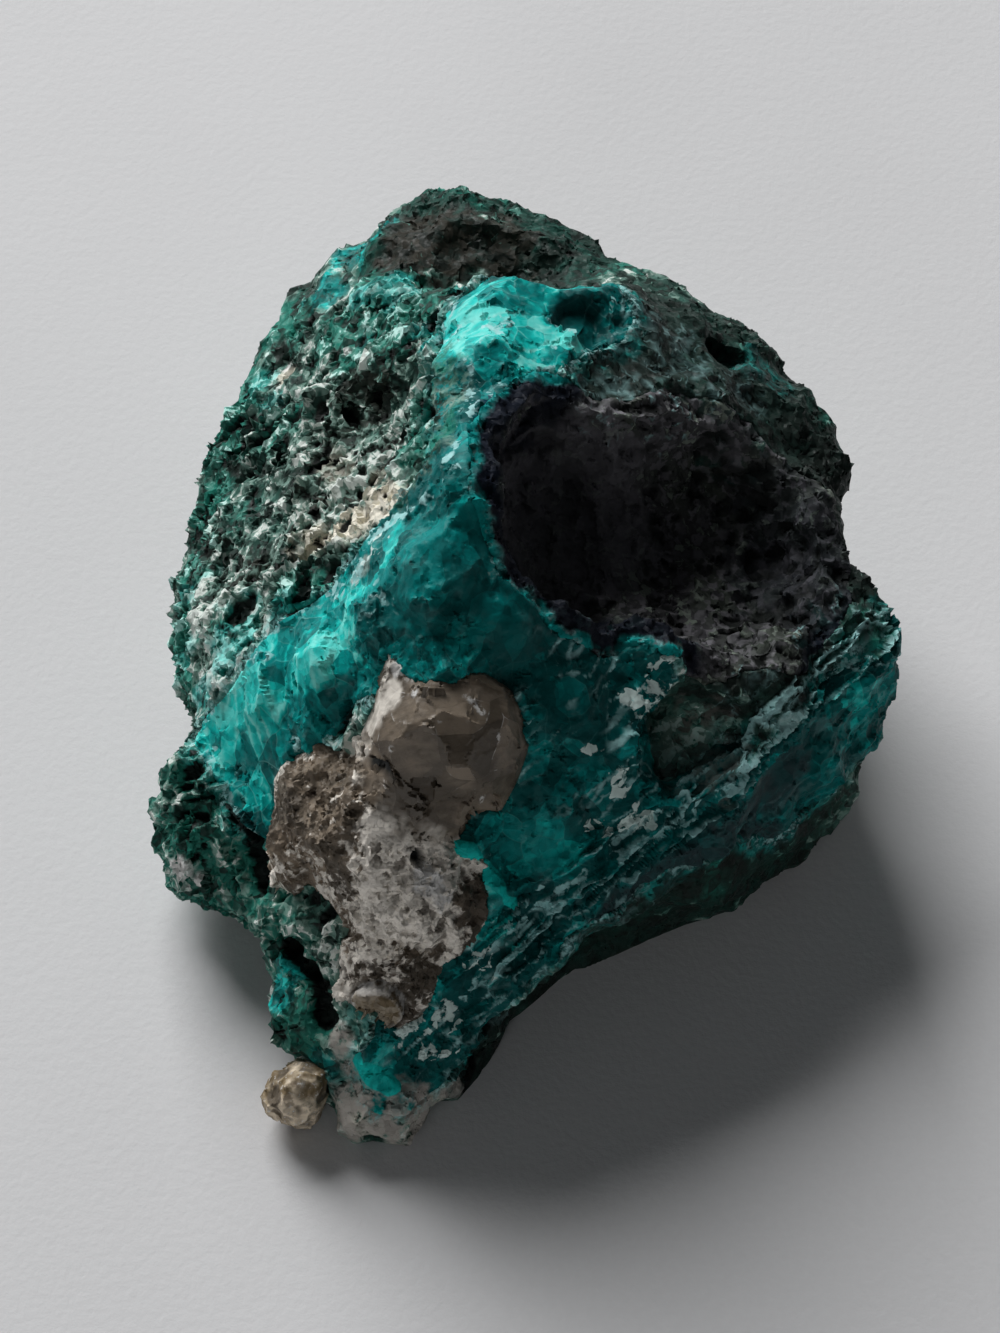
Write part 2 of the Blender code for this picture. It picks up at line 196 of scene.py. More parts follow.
# Deep blue stain beside the hollow and under the crest.
INDIGO_LINES = [
    ([(-2.1, 3.9, 30.8), (-2.3, 1.2, 31.4), (-2.3, -1.6, 31.9), (-2.4, -3.9, 31.8)], 1.1, 1.0),
    ([(-2.6, 4.3, 30.2), (-0.2, 6.4, 28.9), (1.5, 7.6, 28.2), (3.5, 9.8, 26.6)], 0.5, 0.7),
]
# Bright parts of the vein, which break in wide faces: paler vein, and painted light on faces turned to the
# light.
BRIGHT_PATCHES = [
    ((-1.5, 12.0, 28.5), 5.0, 1.4), ((2.8, 13.6, 27.8), 3.6, 1.2), ((-2.9, 4.5, 30.0), 2.6, 0.3),
    ((-3.8, 0.0, 31.5), 2.2, 0.25), ((-5.5, -6.5, 28.0), 3.0, 0.3), ((-8.5, -6.0, 26.4), 3.0, 0.7),
    ((-13.0, -8.0, 22.0), 4.4, 1.1), ((-17.0, -8.5, 16.5), 4.4, 1.15), ((-19.5, -8.5, 13.0), 3.4, 1.15),
    ((-17.5, -13.0, 13.0), 3.4, 0.95), ((-2.1, -21.9, 14.9), 1.3, 0.7), ((-9.5, -30.3, 4.9), 1.3, 1.0),
    ((-9.3, -29.4, 6.2), 1.0, 1.0), ((-16.8, -12.0, 14.5), 3.2, 0.85), ((4.0, -15.5, 20.0), 1.6, 0.4),
    ((22.0, -6.5, 16.0), 2.6, 0.35), ((2.6, -20.4, 15.4), 2.0, 0.4), ((-1.8, -24.8, 11.6), 2.0, 0.6),
    ((0.4, -19.6, 16.2), 2.0, 0.4), ((-3.2, -21.0, 16.4), 0.8, 0.6),
]
# Parts of the vein with the strongest colour.
VIVID_PATCHES = [
    ((-18.7, -8.0, 15.3), 3.0, 1.0), ((7.5, -13.4, 17.0), 1.3, 1.0), ((7.4, -15.2, 15.4), 1.0, 0.7),
]
# Smooth parts of the vein.
SMOOTH_PATCHES = [
    ((-3.5, -7.5, 28.8), 3.6, 1.0), ((-6.2, -9.0, 27.2), 3.0, 0.9), ((-0.5, -10.5, 27.0), 3.0, 0.8),
    ((2.0, 13.5, 28.0), 2.0, 0.7), ((-14.5, -9.5, 20.0), 2.6, 0.6), ((-18.0, -10.0, 14.5), 2.4, 0.6),
    ((1.5, -19.5, 16.0), 2.6, 0.6),
]
# Dark nooks of the vein and the scoop in its crest: painted shade, and by the white crumbs also darker
# granular vein.
SHADED_PATCHES = [
    ((3.8, 13.7, 27.1), 2.3, 1.0), ((5.0, 12.6, 27.0), 1.5, 0.8), ((-2.0, -9.0, 28.0), 2.2, 0.7),
    ((0.0, -11.0, 27.0), 2.4, 0.8), ((-11.5, -13.0, 21.5), 1.6, 0.5), ((16.1, -12.8, 12.2), 1.8, 1.0),
    ((15.1, -14.4, 12.3), 1.4, 1.0), ((2.6, -13.8, 22.6), 2.2, 0.7), ((0.8, -17.6, 19.4), 1.8, 0.4),
    ((5.6, -17.4, 17.0), 1.8, 0.8), ((1.9, -11.2, 25.2), 1.4, 0.5), ((4.4, -15.4, 20.2), 1.8, 0.75),
    ((5.4, -12.2, 22.2), 1.6, 0.7), ((3.2, -18.6, 16.8), 1.3, 0.6),
]
SCOOP = [((4.0, 13.2, 27.2), 1.9, 1.0), ((4.6, 12.0, 27.0), 1.4, 1.0)]
# Where rock grows over the vein's neck.
OVERGROWN_PATCHES = [
    ((-5.2, 7.0, 29.0), 1.8, 1.0), ((-5.2, 4.2, 29.8), 1.9, 1.0), ((-5.5, 1.4, 30.0), 1.9, 1.0),
    ((-6.4, -0.4, 29.2), 1.6, 1.0), ((-7.8, -1.0, 28.2), 1.4, 0.9), ((-4.9, 9.6, 28.0), 1.3, 0.9),
]
# Blue-green stain on the rock.
STAIN_PATCHES = [
    ((-10.8, 29.6, 15.6), 1.6, 0.9), ((-8.0, 21.6, 21.4), 1.2, 0.7), ((-3.8, 17.6, 25.6), 1.2, 0.7),
    ((-10.6, 17.4, 20.6), 0.9, 0.6), ((-5.0, 8.6, 28.0), 0.9, 0.6), ((-17.0, 16.6, 14.4), 1.0, 0.5),
    ((-11.9, 27.8, 16.4), 2.2, 1.0), ((-13.2, 24.6, 16.6), 1.8, 0.9), ((-9.6, 28.6, 17.6), 1.4, 0.8),
    ((-12.8, -29.7, 4.3), 1.3, 0.8), ((-10.4, 21.0, 20.4), 1.3, 0.7), ((-18.6, -4.4, 15.6), 2.6, 0.55),
    ((-21.0, -6.5, 13.0), 2.0, 0.6), ((-15.0, -5.4, 20.6), 1.4, 0.5), ((-5.7, 12.1, 26.5), 1.3, 0.8),
    ((-8.2, 19.6, 21.9), 1.5, 0.6), ((-6.7, 14.2, 25.4), 1.1, 0.7), ((15.7, 15.7, 19.9), 1.6, 0.3),
    ((17.1, 14.8, 18.8), 1.4, 0.25), ((-15.4, -24.9, 6.0), 1.6, 1.0), ((-15.2, -23.4, 6.6), 1.1, 0.8),
    ((-22.5, 2.4, 11.1), 1.6, 0.5), ((-22.1, -1.9, 11.5), 1.6, 0.5), ((-21.2, -6.5, 12.4), 1.8, 0.5),
    ((-18.0, 19.2, 12.7), 1.6, 0.4), ((5.2, 15.6, 26.8), 1.4, 0.5),
]
# Cream-coloured crust on the rock.
CREAM_LINES = [
    ([(-7.9, -1.6, 27.6), (-8.8, -1.0, 26.9), (-11.2, -0.4, 23.4), (-13.6, 0.4, 19.4)], 1.6, 1.0),
]
CREAM_PATCHES = [
    ((-8.8, -1.0, 26.9), 1.0, 0.9), ((-11.2, -0.4, 23.4), 1.5, 1.0), ((-13.0, 0.2, 20.8), 1.3, 1.0),
    ((-10.0, 1.4, 23.4), 1.1, 0.6), ((-16.2, 19.0, 14.2), 0.9, 0.9), ((-9.3, 4.5, 21.8), 1.3, 0.45),
    ((-12.1, 7.0, 19.6), 1.2, 0.35), ((-7.9, -31.9, 3.9), 1.6, 0.5), ((-9.8, -33.0, 3.2), 1.6, 0.6),
    ((-6.6, -31.8, 2.3), 1.8, 0.6),
]
# Where the rock is green, where it is brown, and where it is nearly black.
GREEN_PATCHES = [
    ((-9.6, 22.3, 20.2), 3.4, 1.0), ((-13.0, 19.6, 18.7), 2.6, 0.9), ((-6.8, 17.5, 24.5), 2.8, 1.0),
    ((-4.7, 13.0, 26.9), 2.0, 0.8), ((-20.1, 15.3, 10.9), 3.0, 1.0), ((-20.9, 10.7, 11.3), 2.6, 1.0),
    ((-21.7, 5.2, 11.0), 2.4, 1.0), ((-22.6, -1.4, 9.6), 3.6, 1.0), ((-18.5, 19.2, 11.5), 3.2, 1.0),
    ((-15.3, 23.6, 13.9), 3.0, 1.0), ((-18.5, -4.0, 15.8), 2.8, 0.9), ((-14.3, -4.5, 21.8), 1.8, 0.8),
    ((-5.9, 5.5, 28.0), 1.6, 0.7), ((12.0, 15.0, 21.5), 6.0, 0.8), ((19.0, 12.0, 15.0), 4.0, 0.5),
    ((21.5, -5.5, 16.0), 3.6, 0.9), ((-1.0, 32.0, 15.0), 7.0, 0.6), ((-5.6, 30.8, 19.0), 2.6, 1.0),
    ((-2.6, 31.4, 18.2), 2.6, 1.0), ((1.6, 27.4, 19.4), 2.6, 0.9), ((5.4, 24.9, 19.6), 3.0, 0.9),
    ((-9.8, 27.4, 18.6), 2.2, 1.0), ((11.0, -12.5, 15.5), 3.4, 0.6), ((-10.5, 17.2, 20.4), 3.0, 0.8),
    ((-8.0, 14.6, 23.4), 2.6, 0.8), ((-7.0, 7.5, 26.4), 2.0, 0.7), ((-6.8, 2.6, 27.4), 1.8, 0.7),
    ((-16.0, 13.5, 16.2), 2.4, 0.6), ((-18.6, 6.5, 14.2), 2.0, 0.5), ((15.0, 12.0, 20.0), 5.0, 0.8),
    ((6.0, -21.0, 6.0), 6.0, 0.8), ((15.0, -16.0, 6.0), 6.0, 0.7),
]
BROWN_PATCHES = [
    ((-6.5, 26.2, 19.6), 3.6, 1.0), ((-1.8, 26.5, 19.8), 3.0, 0.9), ((-10.0, 4.8, 21.4), 3.2, 0.9),
    ((-12.5, 3.0, 19.6), 3.0, 0.9), ((-18.6, 0.4, 16.3), 2.6, 0.8), ((-20.0, 4.9, 12.6), 2.0, 0.7),
    ((-10.1, 12.3, 20.3), 3.4, 0.6), ((-12.8, 9.3, 19.8), 2.6, 0.6),
]
DARK_ROCK_PATCHES = [
    ((13.0, 14.0, 21.0), 8.5, 0.9), ((7.0, 13.0, 26.0), 5.0, 1.0), ((7.0, 7.0, 26.0), 4.5, 0.95),
    ((20.0, 5.0, 17.0), 8.5, 1.0), ((2.0, 27.0, 18.0), 6.5, 0.8), ((-6.5, 27.5, 19.0), 5.0, 0.85),
    ((16.0, -1.0, 17.0), 6.0, 0.9), ((-1.0, 31.0, 14.0), 6.0, 0.6), ((18.0, -5.5, 17.5), 5.0, 0.8),
    ((11.5, -12.5, 15.5), 4.2, 0.25), ((13.0, -7.0, 18.5), 4.6, 0.8), ((-4.0, 21.5, 21.5), 2.0, 0.8),
    ((6.0, -20.0, 4.0), 9.0, 0.9), ((16.0, -15.0, 5.0), 6.0, 0.9), ((-3.0, -27.0, 2.0), 4.0, 0.8),
    ((-10.1, 12.3, 20.3), 2.6, 0.5), ((-8.1, 11.4, 23.6), 2.2, 0.6), ((10.0, 17.0, 23.0), 5.0, 1.0),
    ((16.0, 12.0, 20.0), 5.0, 1.0), ((14.0, -5.5, 18.4), 5.0, 1.0), ((8.5, -7.0, 20.4), 2.6, 1.0),
]
# Where the rock has more pale flecks. A strength above one adds still more.
FLECKED_PATCHES = [
    ((-12.0, 10.0, 20.0), 13.0, 1.0), ((-17.0, 2.0, 15.0), 9.0, 1.0), ((-12.0, 20.0, 18.0), 4.0, 0.6),
    # The patch at (11.3, -12.8, 15.2) lightens the nook below the vein: its grey grain, and painted light
    # against the shade there.
    ((-18.0, -3.8, 15.6), 5.0, 2.2), ((-21.5, 4.0, 12.0), 3.5, 1.6), ((11.3, -12.8, 15.2), 3.4, 2.4),
    ((-20.0, -12.0, 9.0), 3.4, 1.8), ((-18.0, -17.0, 8.0), 3.0, 0.7),
]
# Grey dirt, most of it at the toe.
DIRT_PATCHES = [
    ((-10.8, -32.2, 3.0), 2.2, 1.0), ((-7.4, -32.6, 2.2), 2.2, 1.0), ((-4.4, -31.4, 1.8), 2.0, 0.8),
    ((-11.2, -28.9, 6.4), 1.1, 0.9), ((-10.9, -30.0, 5.0), 0.9, 0.9), ((-7.9, -31.9, 3.9), 1.3, 0.8),
    # The patch at (11.3, -12.8, 15.2) lightens the nook below the vein: its grey grain, and painted light
    # against the shade there.
    ((-9.8, -5.6, 25.8), 0.8, 0.5), ((11.3, -12.8, 15.2), 3.4, 0.28),
]
# Where pale veinlets run through rock, vein and crust.
NET_PATCHES = [
    ((8.0, 14.3, 25.2), 3.0, 0.8), ((11.0, 13.0, 23.0), 3.4, 0.9), ((6.4, 7.0, 26.3), 3.0, 1.0),
    ((9.5, 8.5, 25.0), 3.0, 1.0), ((14.0, 13.0, 21.0), 3.0, 0.6), ((20.5, -5.4, 17.0), 3.4, 0.9),
    ((14.5, -10.5, 17.4), 2.6, 0.7), ((9.5, -8.4, 21.0), 1.8, 0.7), ((5.0, -21.0, 9.0), 5.0, 0.8),
    ((-1.0, -25.5, 8.0), 5.0, 1.0), ((5.0, -16.0, 19.0), 5.0, 0.8), ((3.0, -12.0, 23.5), 4.0, 0.8),
    ((-5.0, -29.5, 5.0), 3.6, 1.0), ((-2.5, -27.0, 7.5), 3.0, 1.0),
]
# Rougher rims of the rock, its round beaded lobes, and single white crystals, whose white is partly their
# own and partly painted glints.
ROUGH_RIMS = [
    ((-10.5, 29.0, 15.5), 3.0, 1.0), ((-5.6, 31.0, 18.5), 3.4, 1.0), ((-0.8, 31.0, 17.6), 3.4, 1.0),
    ((4.5, 26.5, 18.0), 3.4, 0.9), ((20.7, 10.5, 17.1), 4.0, 0.8), ((22.5, 0.0, 17.0), 4.0, 0.8),
    ((14.9, 20.0, 18.3), 4.0, 0.8), ((-20.0, 13.0, 11.0), 4.5, 0.8), ((-22.0, 2.5, 11.5), 4.5, 0.8),
]
ROUND_LOBES = [
    ((-19.5, -14.0, 7.0), 6.5, 1.0), ((-14.0, -20.0, 6.5), 5.0, 1.0), ((-13.0, -26.0, 4.5), 3.5, 0.8),
]
WHITE_CRYSTAL_GLINTS = [
    ((-22.1, -16.6, 7.6), 0.9, 1.0), ((-22.9, -15.4, 6.8), 0.7, 1.0), ((-21.0, -17.2, 6.9), 0.8, 1.0),
    ((-19.6, -17.6, 8.0), 0.5, 0.9), ((-15.9, 19.9, 14.0), 0.5, 1.0), ((-15.1, 16.3, 15.8), 0.45, 0.9),
    ((-11.9, 17.4, 19.3), 0.5, 0.9), ((-10.6, 17.0, 20.3), 0.4, 0.8),
]
# The hollow's darkest part, lightened with painted fill light against its shade, and its right slope,
# darkened with painted shade.
HOLLOW_DEPTHS = [((1.5, 2.0, 22.0), 7.5, 1.0)]
SLOPE_SHADE_PATCHES = [
    ((18.6, 1.0, 17.2), 5.0, 1.0), ((16.8, 5.4, 18.2), 3.0, 0.8), ((19.6, -3.2, 17.6), 3.0, 0.9),
]
# The quartz's clear boss, and its white, pale and brown parts.
CLEAR_BOSS = [((-4.6, -17.0, 22.0), 6.0, 1.0)]
WHITE_QUARTZ = [
    ((-5.9, -23.5, 16.4), 1.0, 1.0), ((-6.2, -22.9, 16.9), 0.7, 0.9), ((-5.2, -24.1, 16.2), 0.8, 0.9),
    ((-7.5, -13.2, 25.7), 0.7, 0.7),
]
PALE_QUARTZ = [
    ((-6.5, -23.0, 16.5), 3.2, 0.8), ((-8.6, -21.4, 18.6), 2.0, 0.6), ((-8.3, -25.3, 13.2), 2.8, 0.25),
    ((-9.3, -15.5, 23.2), 1.4, 1.0), ((-10.0, -15.8, 21.4), 1.3, 0.9), ((-8.3, -15.0, 24.7), 1.2, 1.0),
]
BROWN_QUARTZ = [
    ((-13.5, -17.0, 17.2), 3.8, 1.0), ((-12.0, -20.0, 17.6), 2.8, 0.9),
    ((-14.5, -19.0, 13.5), 3.2, 0.9), ((-15.8, -17.6, 11.0), 2.6, 0.7), ((-3.4, -23.2, 14.6), 2.0, 0.7),
    ((-6.6, -26.4, 11.4), 1.8, 0.6), ((-11.6, -24.0, 12.0), 1.8, 0.5), ((-5.0, -19.5, 19.5), 2.2, 0.6),
]
# The quartz's crevices and hole, pressed in and painted black as shade, and its cracks, painted white:
# partly the white of the fractures, partly painted glints.
QUARTZ_CREVICES = [
    ([(-11.0, -15.4, 20.6), (-10.2, -17.0, 21.2), (-8.6, -18.4, 22.0), (-6.8, -19.4, 21.4)], 0.45, 1.0),
]
QUARTZ_CRACK_GLINTS = [
    ([(-5.2, -17.3, 25.9), (-3.4, -17.2, 25.2), (-1.4, -17.6, 21.9)], 0.22, 1.0),
    ([(-7.3, -13.4, 25.8), (-6.6, -15.0, 26.3), (-7.0, -16.6, 25.4), (-8.2, -18.0, 23.8)], 0.22, 1.0),
    ([(-1.6, -17.2, 24.0), (-2.0, -18.8, 20.6), (-3.0, -19.4, 18.0)], 0.18, 0.8),
    ([(-3.8, -15.6, 26.0), (-2.6, -16.4, 25.4)], 0.22, 0.9),
    ([(-5.8, -19.2, 22.4), (-4.2, -19.6, 21.2)], 0.18, 0.8),
]
QUARTZ_HOLES = [((-6.5, -22.3, 17.8), 0.6, 1.0)]


# ---------------------------------------------------------------- patterns worked out in space

def scramble(cells, seed):
    """A number from 0 to 1 for every whole-numbered cell, the same on every run."""
    cells = cells.astype(np.uint32)
    mixed = (cells[:, 0] * np.uint32(73856093)) ^ (cells[:, 1] * np.uint32(19349663))
    mixed ^= (cells[:, 2] * np.uint32(83492791)) ^ np.uint32(seed * 2654435)
    for _ in range(2):
        mixed = (mixed ^ (mixed >> np.uint32(16))) * np.uint32(0x45D9F3B)
    return ((mixed ^ (mixed >> np.uint32(16))) & np.uint32(0xFFFFFF)) / 0x1000000


def clouds(places, size, seed, octaves=1):
    """Soft lumps of this size, from -1 to 1, with finer ones added at half the size and strength."""
    total, strength, sum_of_strengths = 0.0, 1.0, 0.0
    for octave in range(octaves):
        scaled = places / size * 2**octave + 17.3 * seed
        low = np.floor(scaled)
        inside = scaled - low
        inside = inside * inside * (3 - 2 * inside)
        low = low.astype(np.int64)
        shares = [(1 - inside[:, axis], inside[:, axis]) for axis in range(3)]
        value = 0.0
        for x in (0, 1):
            for y in (0, 1):
                flat_share = shares[0][x] * shares[1][y]
                for z in (0, 1):
                    corner = scramble(low + np.array((x, y, z)), seed + octave)
                    value = value + flat_share * shares[2][z] * corner
        total = total + strength * (2 * value - 1)
        sum_of_strengths += strength
        strength *= 0.5
    return total / sum_of_strengths


def grains(places, size, seed):
    """Splits space into grains of this size. Gives the distance to the nearest grain's middle and to
    the next one's, in grain sizes, the way from the nearest middle, and two numbers for each grain."""
    scaled = places / size + 5.1 * seed
    home = np.floor(scaled).astype(np.int64)
    count = len(places)
    near, next_near = np.full(count, 9.0), np.full(count, 9.0)
    way, chosen = np.zeros((count, 3)), np.zeros((count, 3), np.int64)
    for x in (-1, 0, 1):
        for y in (-1, 0, 1):
            for z in (-1, 0, 1):
                cell = home + np.array((x, y, z))
                middle = cell + np.stack([scramble(cell, seed + axis) for axis in range(3)], axis=1)
                offset = scaled - middle
                distance = np.sqrt(np.einsum("ij,ij->i", offset, offset))
                closer = distance < near
                next_near = np.where(closer, near, np.minimum(next_near, distance))
                near = np.where(closer, distance, near)
                way[closer] = offset[closer]
                chosen[closer] = cell[closer]
    return near, next_near, way, chosen


def facets(places, size, seed):
    """Flat faces that meet in steps and edges, as on broken or crystalline stone, from -1 to 1."""
    _, _, way, chosen = grains(places, size, seed)
    tilt = np.stack([scramble(chosen, seed + 10 + axis) * 2 - 1 for axis in range(3)], axis=1)
    return np.clip(np.einsum("ij,ij->i", way, tilt) * 1.3 + scramble(chosen, seed + 14) - 0.5, -1, 1)


def warped(places, by, size, seed):
    """Places pushed about, so that a pattern read there loses its evenness."""
    push = [clouds(places, size, seed + 3 * axis, 2) for axis in range(3)]
    return places + by * np.stack(push, axis=1)


def ridges(places, size, seed, octaves=3):
    """Sharp crests with dips between them, from 0 to 1, and finer ones on the crests."""
    total, strength, on_crest, sum_of_strengths = 0.0, 1.0, 1.0, 0.0
    for octave in range(octaves):
        flatness = np.abs(clouds(places, size / 2**octave, seed + 7 * octave))
        crest = np.clip(1 - 2.2 * flatness, 0, 1) ** 1.5
        total = total + strength * on_crest * crest
        sum_of_strengths += strength
        on_crest = np.clip(0.35 + crest, 0, 1)
        strength *= 0.55
    return total / sum_of_strengths


def flat_faces(places, normals, size, seed, share, most=0.5):
    """Draws the surface onto flat faces of this size that follow it, as on broken quartz. Gives the
    places and a number from 0 to 1 for each face."""
    _, _, _, chosen = grains(places + normals * size * 0.7, size, seed)
    _, face = np.unique(chosen, axis=0, return_inverse=True)
    face = face.ravel()
    count = np.bincount(face)[:, None]
    middle = np.stack([np.bincount(face, places[:, axis]) for axis in range(3)], axis=1) / count
    facing = np.stack([np.bincount(face, normals[:, axis]) for axis in range(3)], axis=1)
    facing /= np.linalg.norm(facing, axis=1)[:, None] + 1e-9
    agree = soft_step(np.einsum("ij,ij->i", normals, facing[face]), 0.2, 0.6)
    away = np.einsum("ij,ij->i", places - middle[face], facing[face])
    drawn = places - facing[face] * (share * agree * np.clip(away, -most, most))[:, None]
    return drawn, scramble(chosen, seed + 5)


def soft_step(values, low, high):
    """Goes smoothly from 0 to 1 as the values go from low to high."""
    part = np.clip((values - low) / (high - low), 0, 1)
    return part * part * (3 - 2 * part)


def squeezed(places, along, share):
    """Places pressed together along a direction, so that a pattern read there comes out drawn out."""
    along = np.array(along) / np.linalg.norm(along)
    return places - np.outer(places @ along, along) * (1 - share)


def near_patches(places, patches, ragged=0.45, seed=3):
    """How much each place belongs to the patches, from 0 to 1, with ragged edges."""
    rough = clouds(places, 0.9, seed, 3) * ragged
    mask = np.zeros(len(places))
    for middle, radius, strength in patches:
        distance = np.linalg.norm(places - np.array(middle), axis=1) / radius
        mask = np.maximum(mask, strength * soft_step(1.15 - distance + rough, 0.0, 0.35))
    return mask


def near_lines(places, lines, ragged=0.6, seed=4):
    """How much each place belongs to the lines, from 0 to 1, with ragged edges."""
    rough = clouds(places, 0.8, seed, 3) * ragged
    mask = np.zeros(len(places))
    for line, half_width, strength in lines:
        distance = np.full(len(places), 1e3)
        for start, end in zip(line[:-1], line[1:]):
            start, end = np.array(start), np.array(end)
            run = end - start
            share = np.clip((places - start) @ run / (run @ run), 0, 1)
            distance = np.minimum(distance, np.linalg.norm(places - start - np.outer(share, run), axis=1))
        mask = np.maximum(mask, strength * soft_step(1.2 - distance / half_width + rough, 0.0, 0.7))
    return mask


# ---------------------------------------------------------------- meshes

def settled(piece):
    """The piece with its modifiers worked into its own mesh."""
    bpy.context.view_layer.update()
    graph = bpy.context.evaluated_depsgraph_get()
    mesh = bpy.data.meshes.new_from_object(piece.evaluated_get(graph))
    piece.modifiers.clear()
    old = piece.data
    piece.data = mesh
    bpy.data.meshes.remove(old)
    return piece


def fine_copy(node, name, cell, grow, rounding):
    """A mineral's solid as an even, closed mesh, grown a little so that it meets its neighbours."""
    shape = bmesh.new()
    shape.from_mesh(frame["nodes"][node].data)
    bmesh.ops.remove_doubles(shape, verts=shape.verts, dist=WELD)
    mesh = bpy.data.meshes.new(name)
    shape.to_mesh(mesh)
    shape.free()
    piece = bpy.data.objects.new(name, mesh)
    bpy.context.scene.collection.objects.link(piece)
    swell = piece.modifiers.new("swell", "DISPLACE")
    swell.strength, swell.mid_level = grow, 0.0
    remesh = piece.modifiers.new("even", "REMESH")
    remesh.mode, remesh.voxel_size = "VOXEL", cell
    smooth = piece.modifiers.new("round", "SMOOTH")
    smooth.iterations, smooth.factor = rounding, 0.5
    return settled(piece)


def places_and_normals(mesh):
    """The vertices' places in millimetres, and which way each faces."""
    count = len(mesh.vertices)
    places, normals = np.empty(count * 3), np.empty(count * 3)
    mesh.vertices.foreach_get("co", places)
    mesh.vertices.foreach_get("normal", normals)
    return places.reshape(-1, 3) / MM, normals.reshape(-1, 3)


def reach_of(places, normals, node, neighbours=None, reach=NEIGHBOUR_REACH):
    """How far each place is from the neighbouring minerals' solids, up to the reach, and whether it
    lies right against one, out of sight."""
    distance, hidden = np.full(len(places), reach), np.zeros(len(places), bool)
    for name in neighbours or frame["nodes"]:
        if name == node:
            continue
        other = frame["nodes"][name]
        tree = BVHTree.FromPolygons([v.co / MM for v in other.data.vertices],
                                    [p.vertices for p in other.data.polygons])
        low, high = (np.array(corner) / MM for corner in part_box(name))
        near = np.nonzero(np.all((places > low - reach) & (places < high + reach), axis=1))[0]
        for index in near:
            place, facing, _, gap = tree.find_nearest(places[index], distance[index])
            if place is not None:
                distance[index] = gap
                hidden[index] = gap < TOUCHING and facing.dot(Vector(normals[index])) < OPPOSED
    return distance, hidden


def thinned(piece, most_triangles):
    """Keeps the mesh under a number of triangles, taking them from where the surface is flattest."""
    triangles = sum(len(face.vertices) - 2 for face in piece.data.polygons)
    if triangles > most_triangles:
        thin = piece.modifiers.new("thin", "DECIMATE")
        thin.ratio = most_triangles / triangles
        settled(piece)
    return piece


def reshaped(piece, places):
    """Moves the vertices and gives their places and normals afresh."""
    piece.data.vertices.foreach_set("co", (places * MM).ravel())
    piece.data.update()
    return places_and_normals(piece.data)


def keep_masks(mesh, **named):
    """Keeps values for every vertex with the mesh, where the materials read them by name."""
    for name, values in named.items():
        attribute = mesh.attributes.new(name, "FLOAT", "POINT")
        attribute.data.foreach_set("value", np.asarray(values, np.float32))


def move_vertices(mesh, places):
    """Sets the vertices, kept inside the plain solids' box."""
    low, high = (np.array(corner) / MM for corner in CAD_BOX)
    places = np.clip(places, low, high)
    mesh.vertices.foreach_set("co", (places * MM).ravel())
    mesh.update()


def hand_over(piece, node, material):
    """Gives a finished piece its material and its place in the frame."""
    piece.data.materials.clear()
    piece.data.materials.append(material)
    piece.data.polygons.foreach_set("use_smooth", np.ones(len(piece.data.polygons), bool))
    piece.data.set_sharp_from_angle(angle=math.radians(EDGE_ANGLE))
    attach(piece, "root")
    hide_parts(node)


# ---------------------------------------------------------------- materials

def new_group(name, inputs, outputs):
    """An empty shader node group with its named inputs and outputs."""
    group = bpy.data.node_groups.new(name, "ShaderNodeTree")
    for socket, kind, default in inputs:
        made = group.interface.new_socket(socket, in_out="INPUT", socket_type=kind)
        made.default_value = default
    for socket in outputs:
        group.interface.new_socket(socket, in_out="OUTPUT", socket_type="NodeSocketFloat")
    return group, group.nodes.new("NodeGroupInput"), group.nodes.new("NodeGroupOutput")


def put(tree, kind, inputs=(), **settings):
    """A new node with its settings, and with its inputs set or wired by name or number."""
    node = tree.nodes.new(kind)
    for key, value in settings.items():
        setattr(node, key, value)
    for key, value in dict(inputs).items():
        if isinstance(value, bpy.types.NodeSocket):
            tree.links.new(value, node.inputs[key])
        else:
            node.inputs[key].default_value = value
    return node


def between(tree, value, low, high, start=0.0, end=1.0):
    """Goes smoothly from start to end as the value goes from low to high."""
    return put(tree, "ShaderNodeMapRange", {"Value": value, "From Min": low, "From Max": high,
                                            "To Min": start, "To Max": end},
               interpolation_type="SMOOTHSTEP").outputs["Result"]


def worked(tree, operation, first, second=0.0):
    return put(tree, "ShaderNodeMath", {0: first, 1: second}, operation=operation).outputs[0]


def times(tree, first, *others):
    for other in others:
        first = worked(tree, "MULTIPLY", first, other)
    return first


def plus(tree, first, *others):
    for other in others:
        first = worked(tree, "ADD", first, other)
    return first


def rest_of(tree, share):
    """What the share leaves of one."""
    return worked(tree, "SUBTRACT", 1.0, share)


def limited(tree, value):
    return put(tree, "ShaderNodeClamp", {0: value}).outputs[0]


def blend(tree, share, first, second):
    """Goes from the first colour to the second as the share goes from 0 to 1."""
    node = tree.nodes.new("ShaderNodeMix")
    node.data_type = "RGBA"
    tree.links.new(share, node.inputs["Factor"])
    ends = [socket for socket in node.inputs if socket.type == "RGBA"]
    for socket, value in zip(ends, (first, second)):
        if isinstance(value, bpy.types.NodeSocket):
            tree.links.new(value, socket)
        else:
            socket.default_value = (*value[:3], 1)
    return [socket for socket in node.outputs if socket.type == "RGBA"][0]


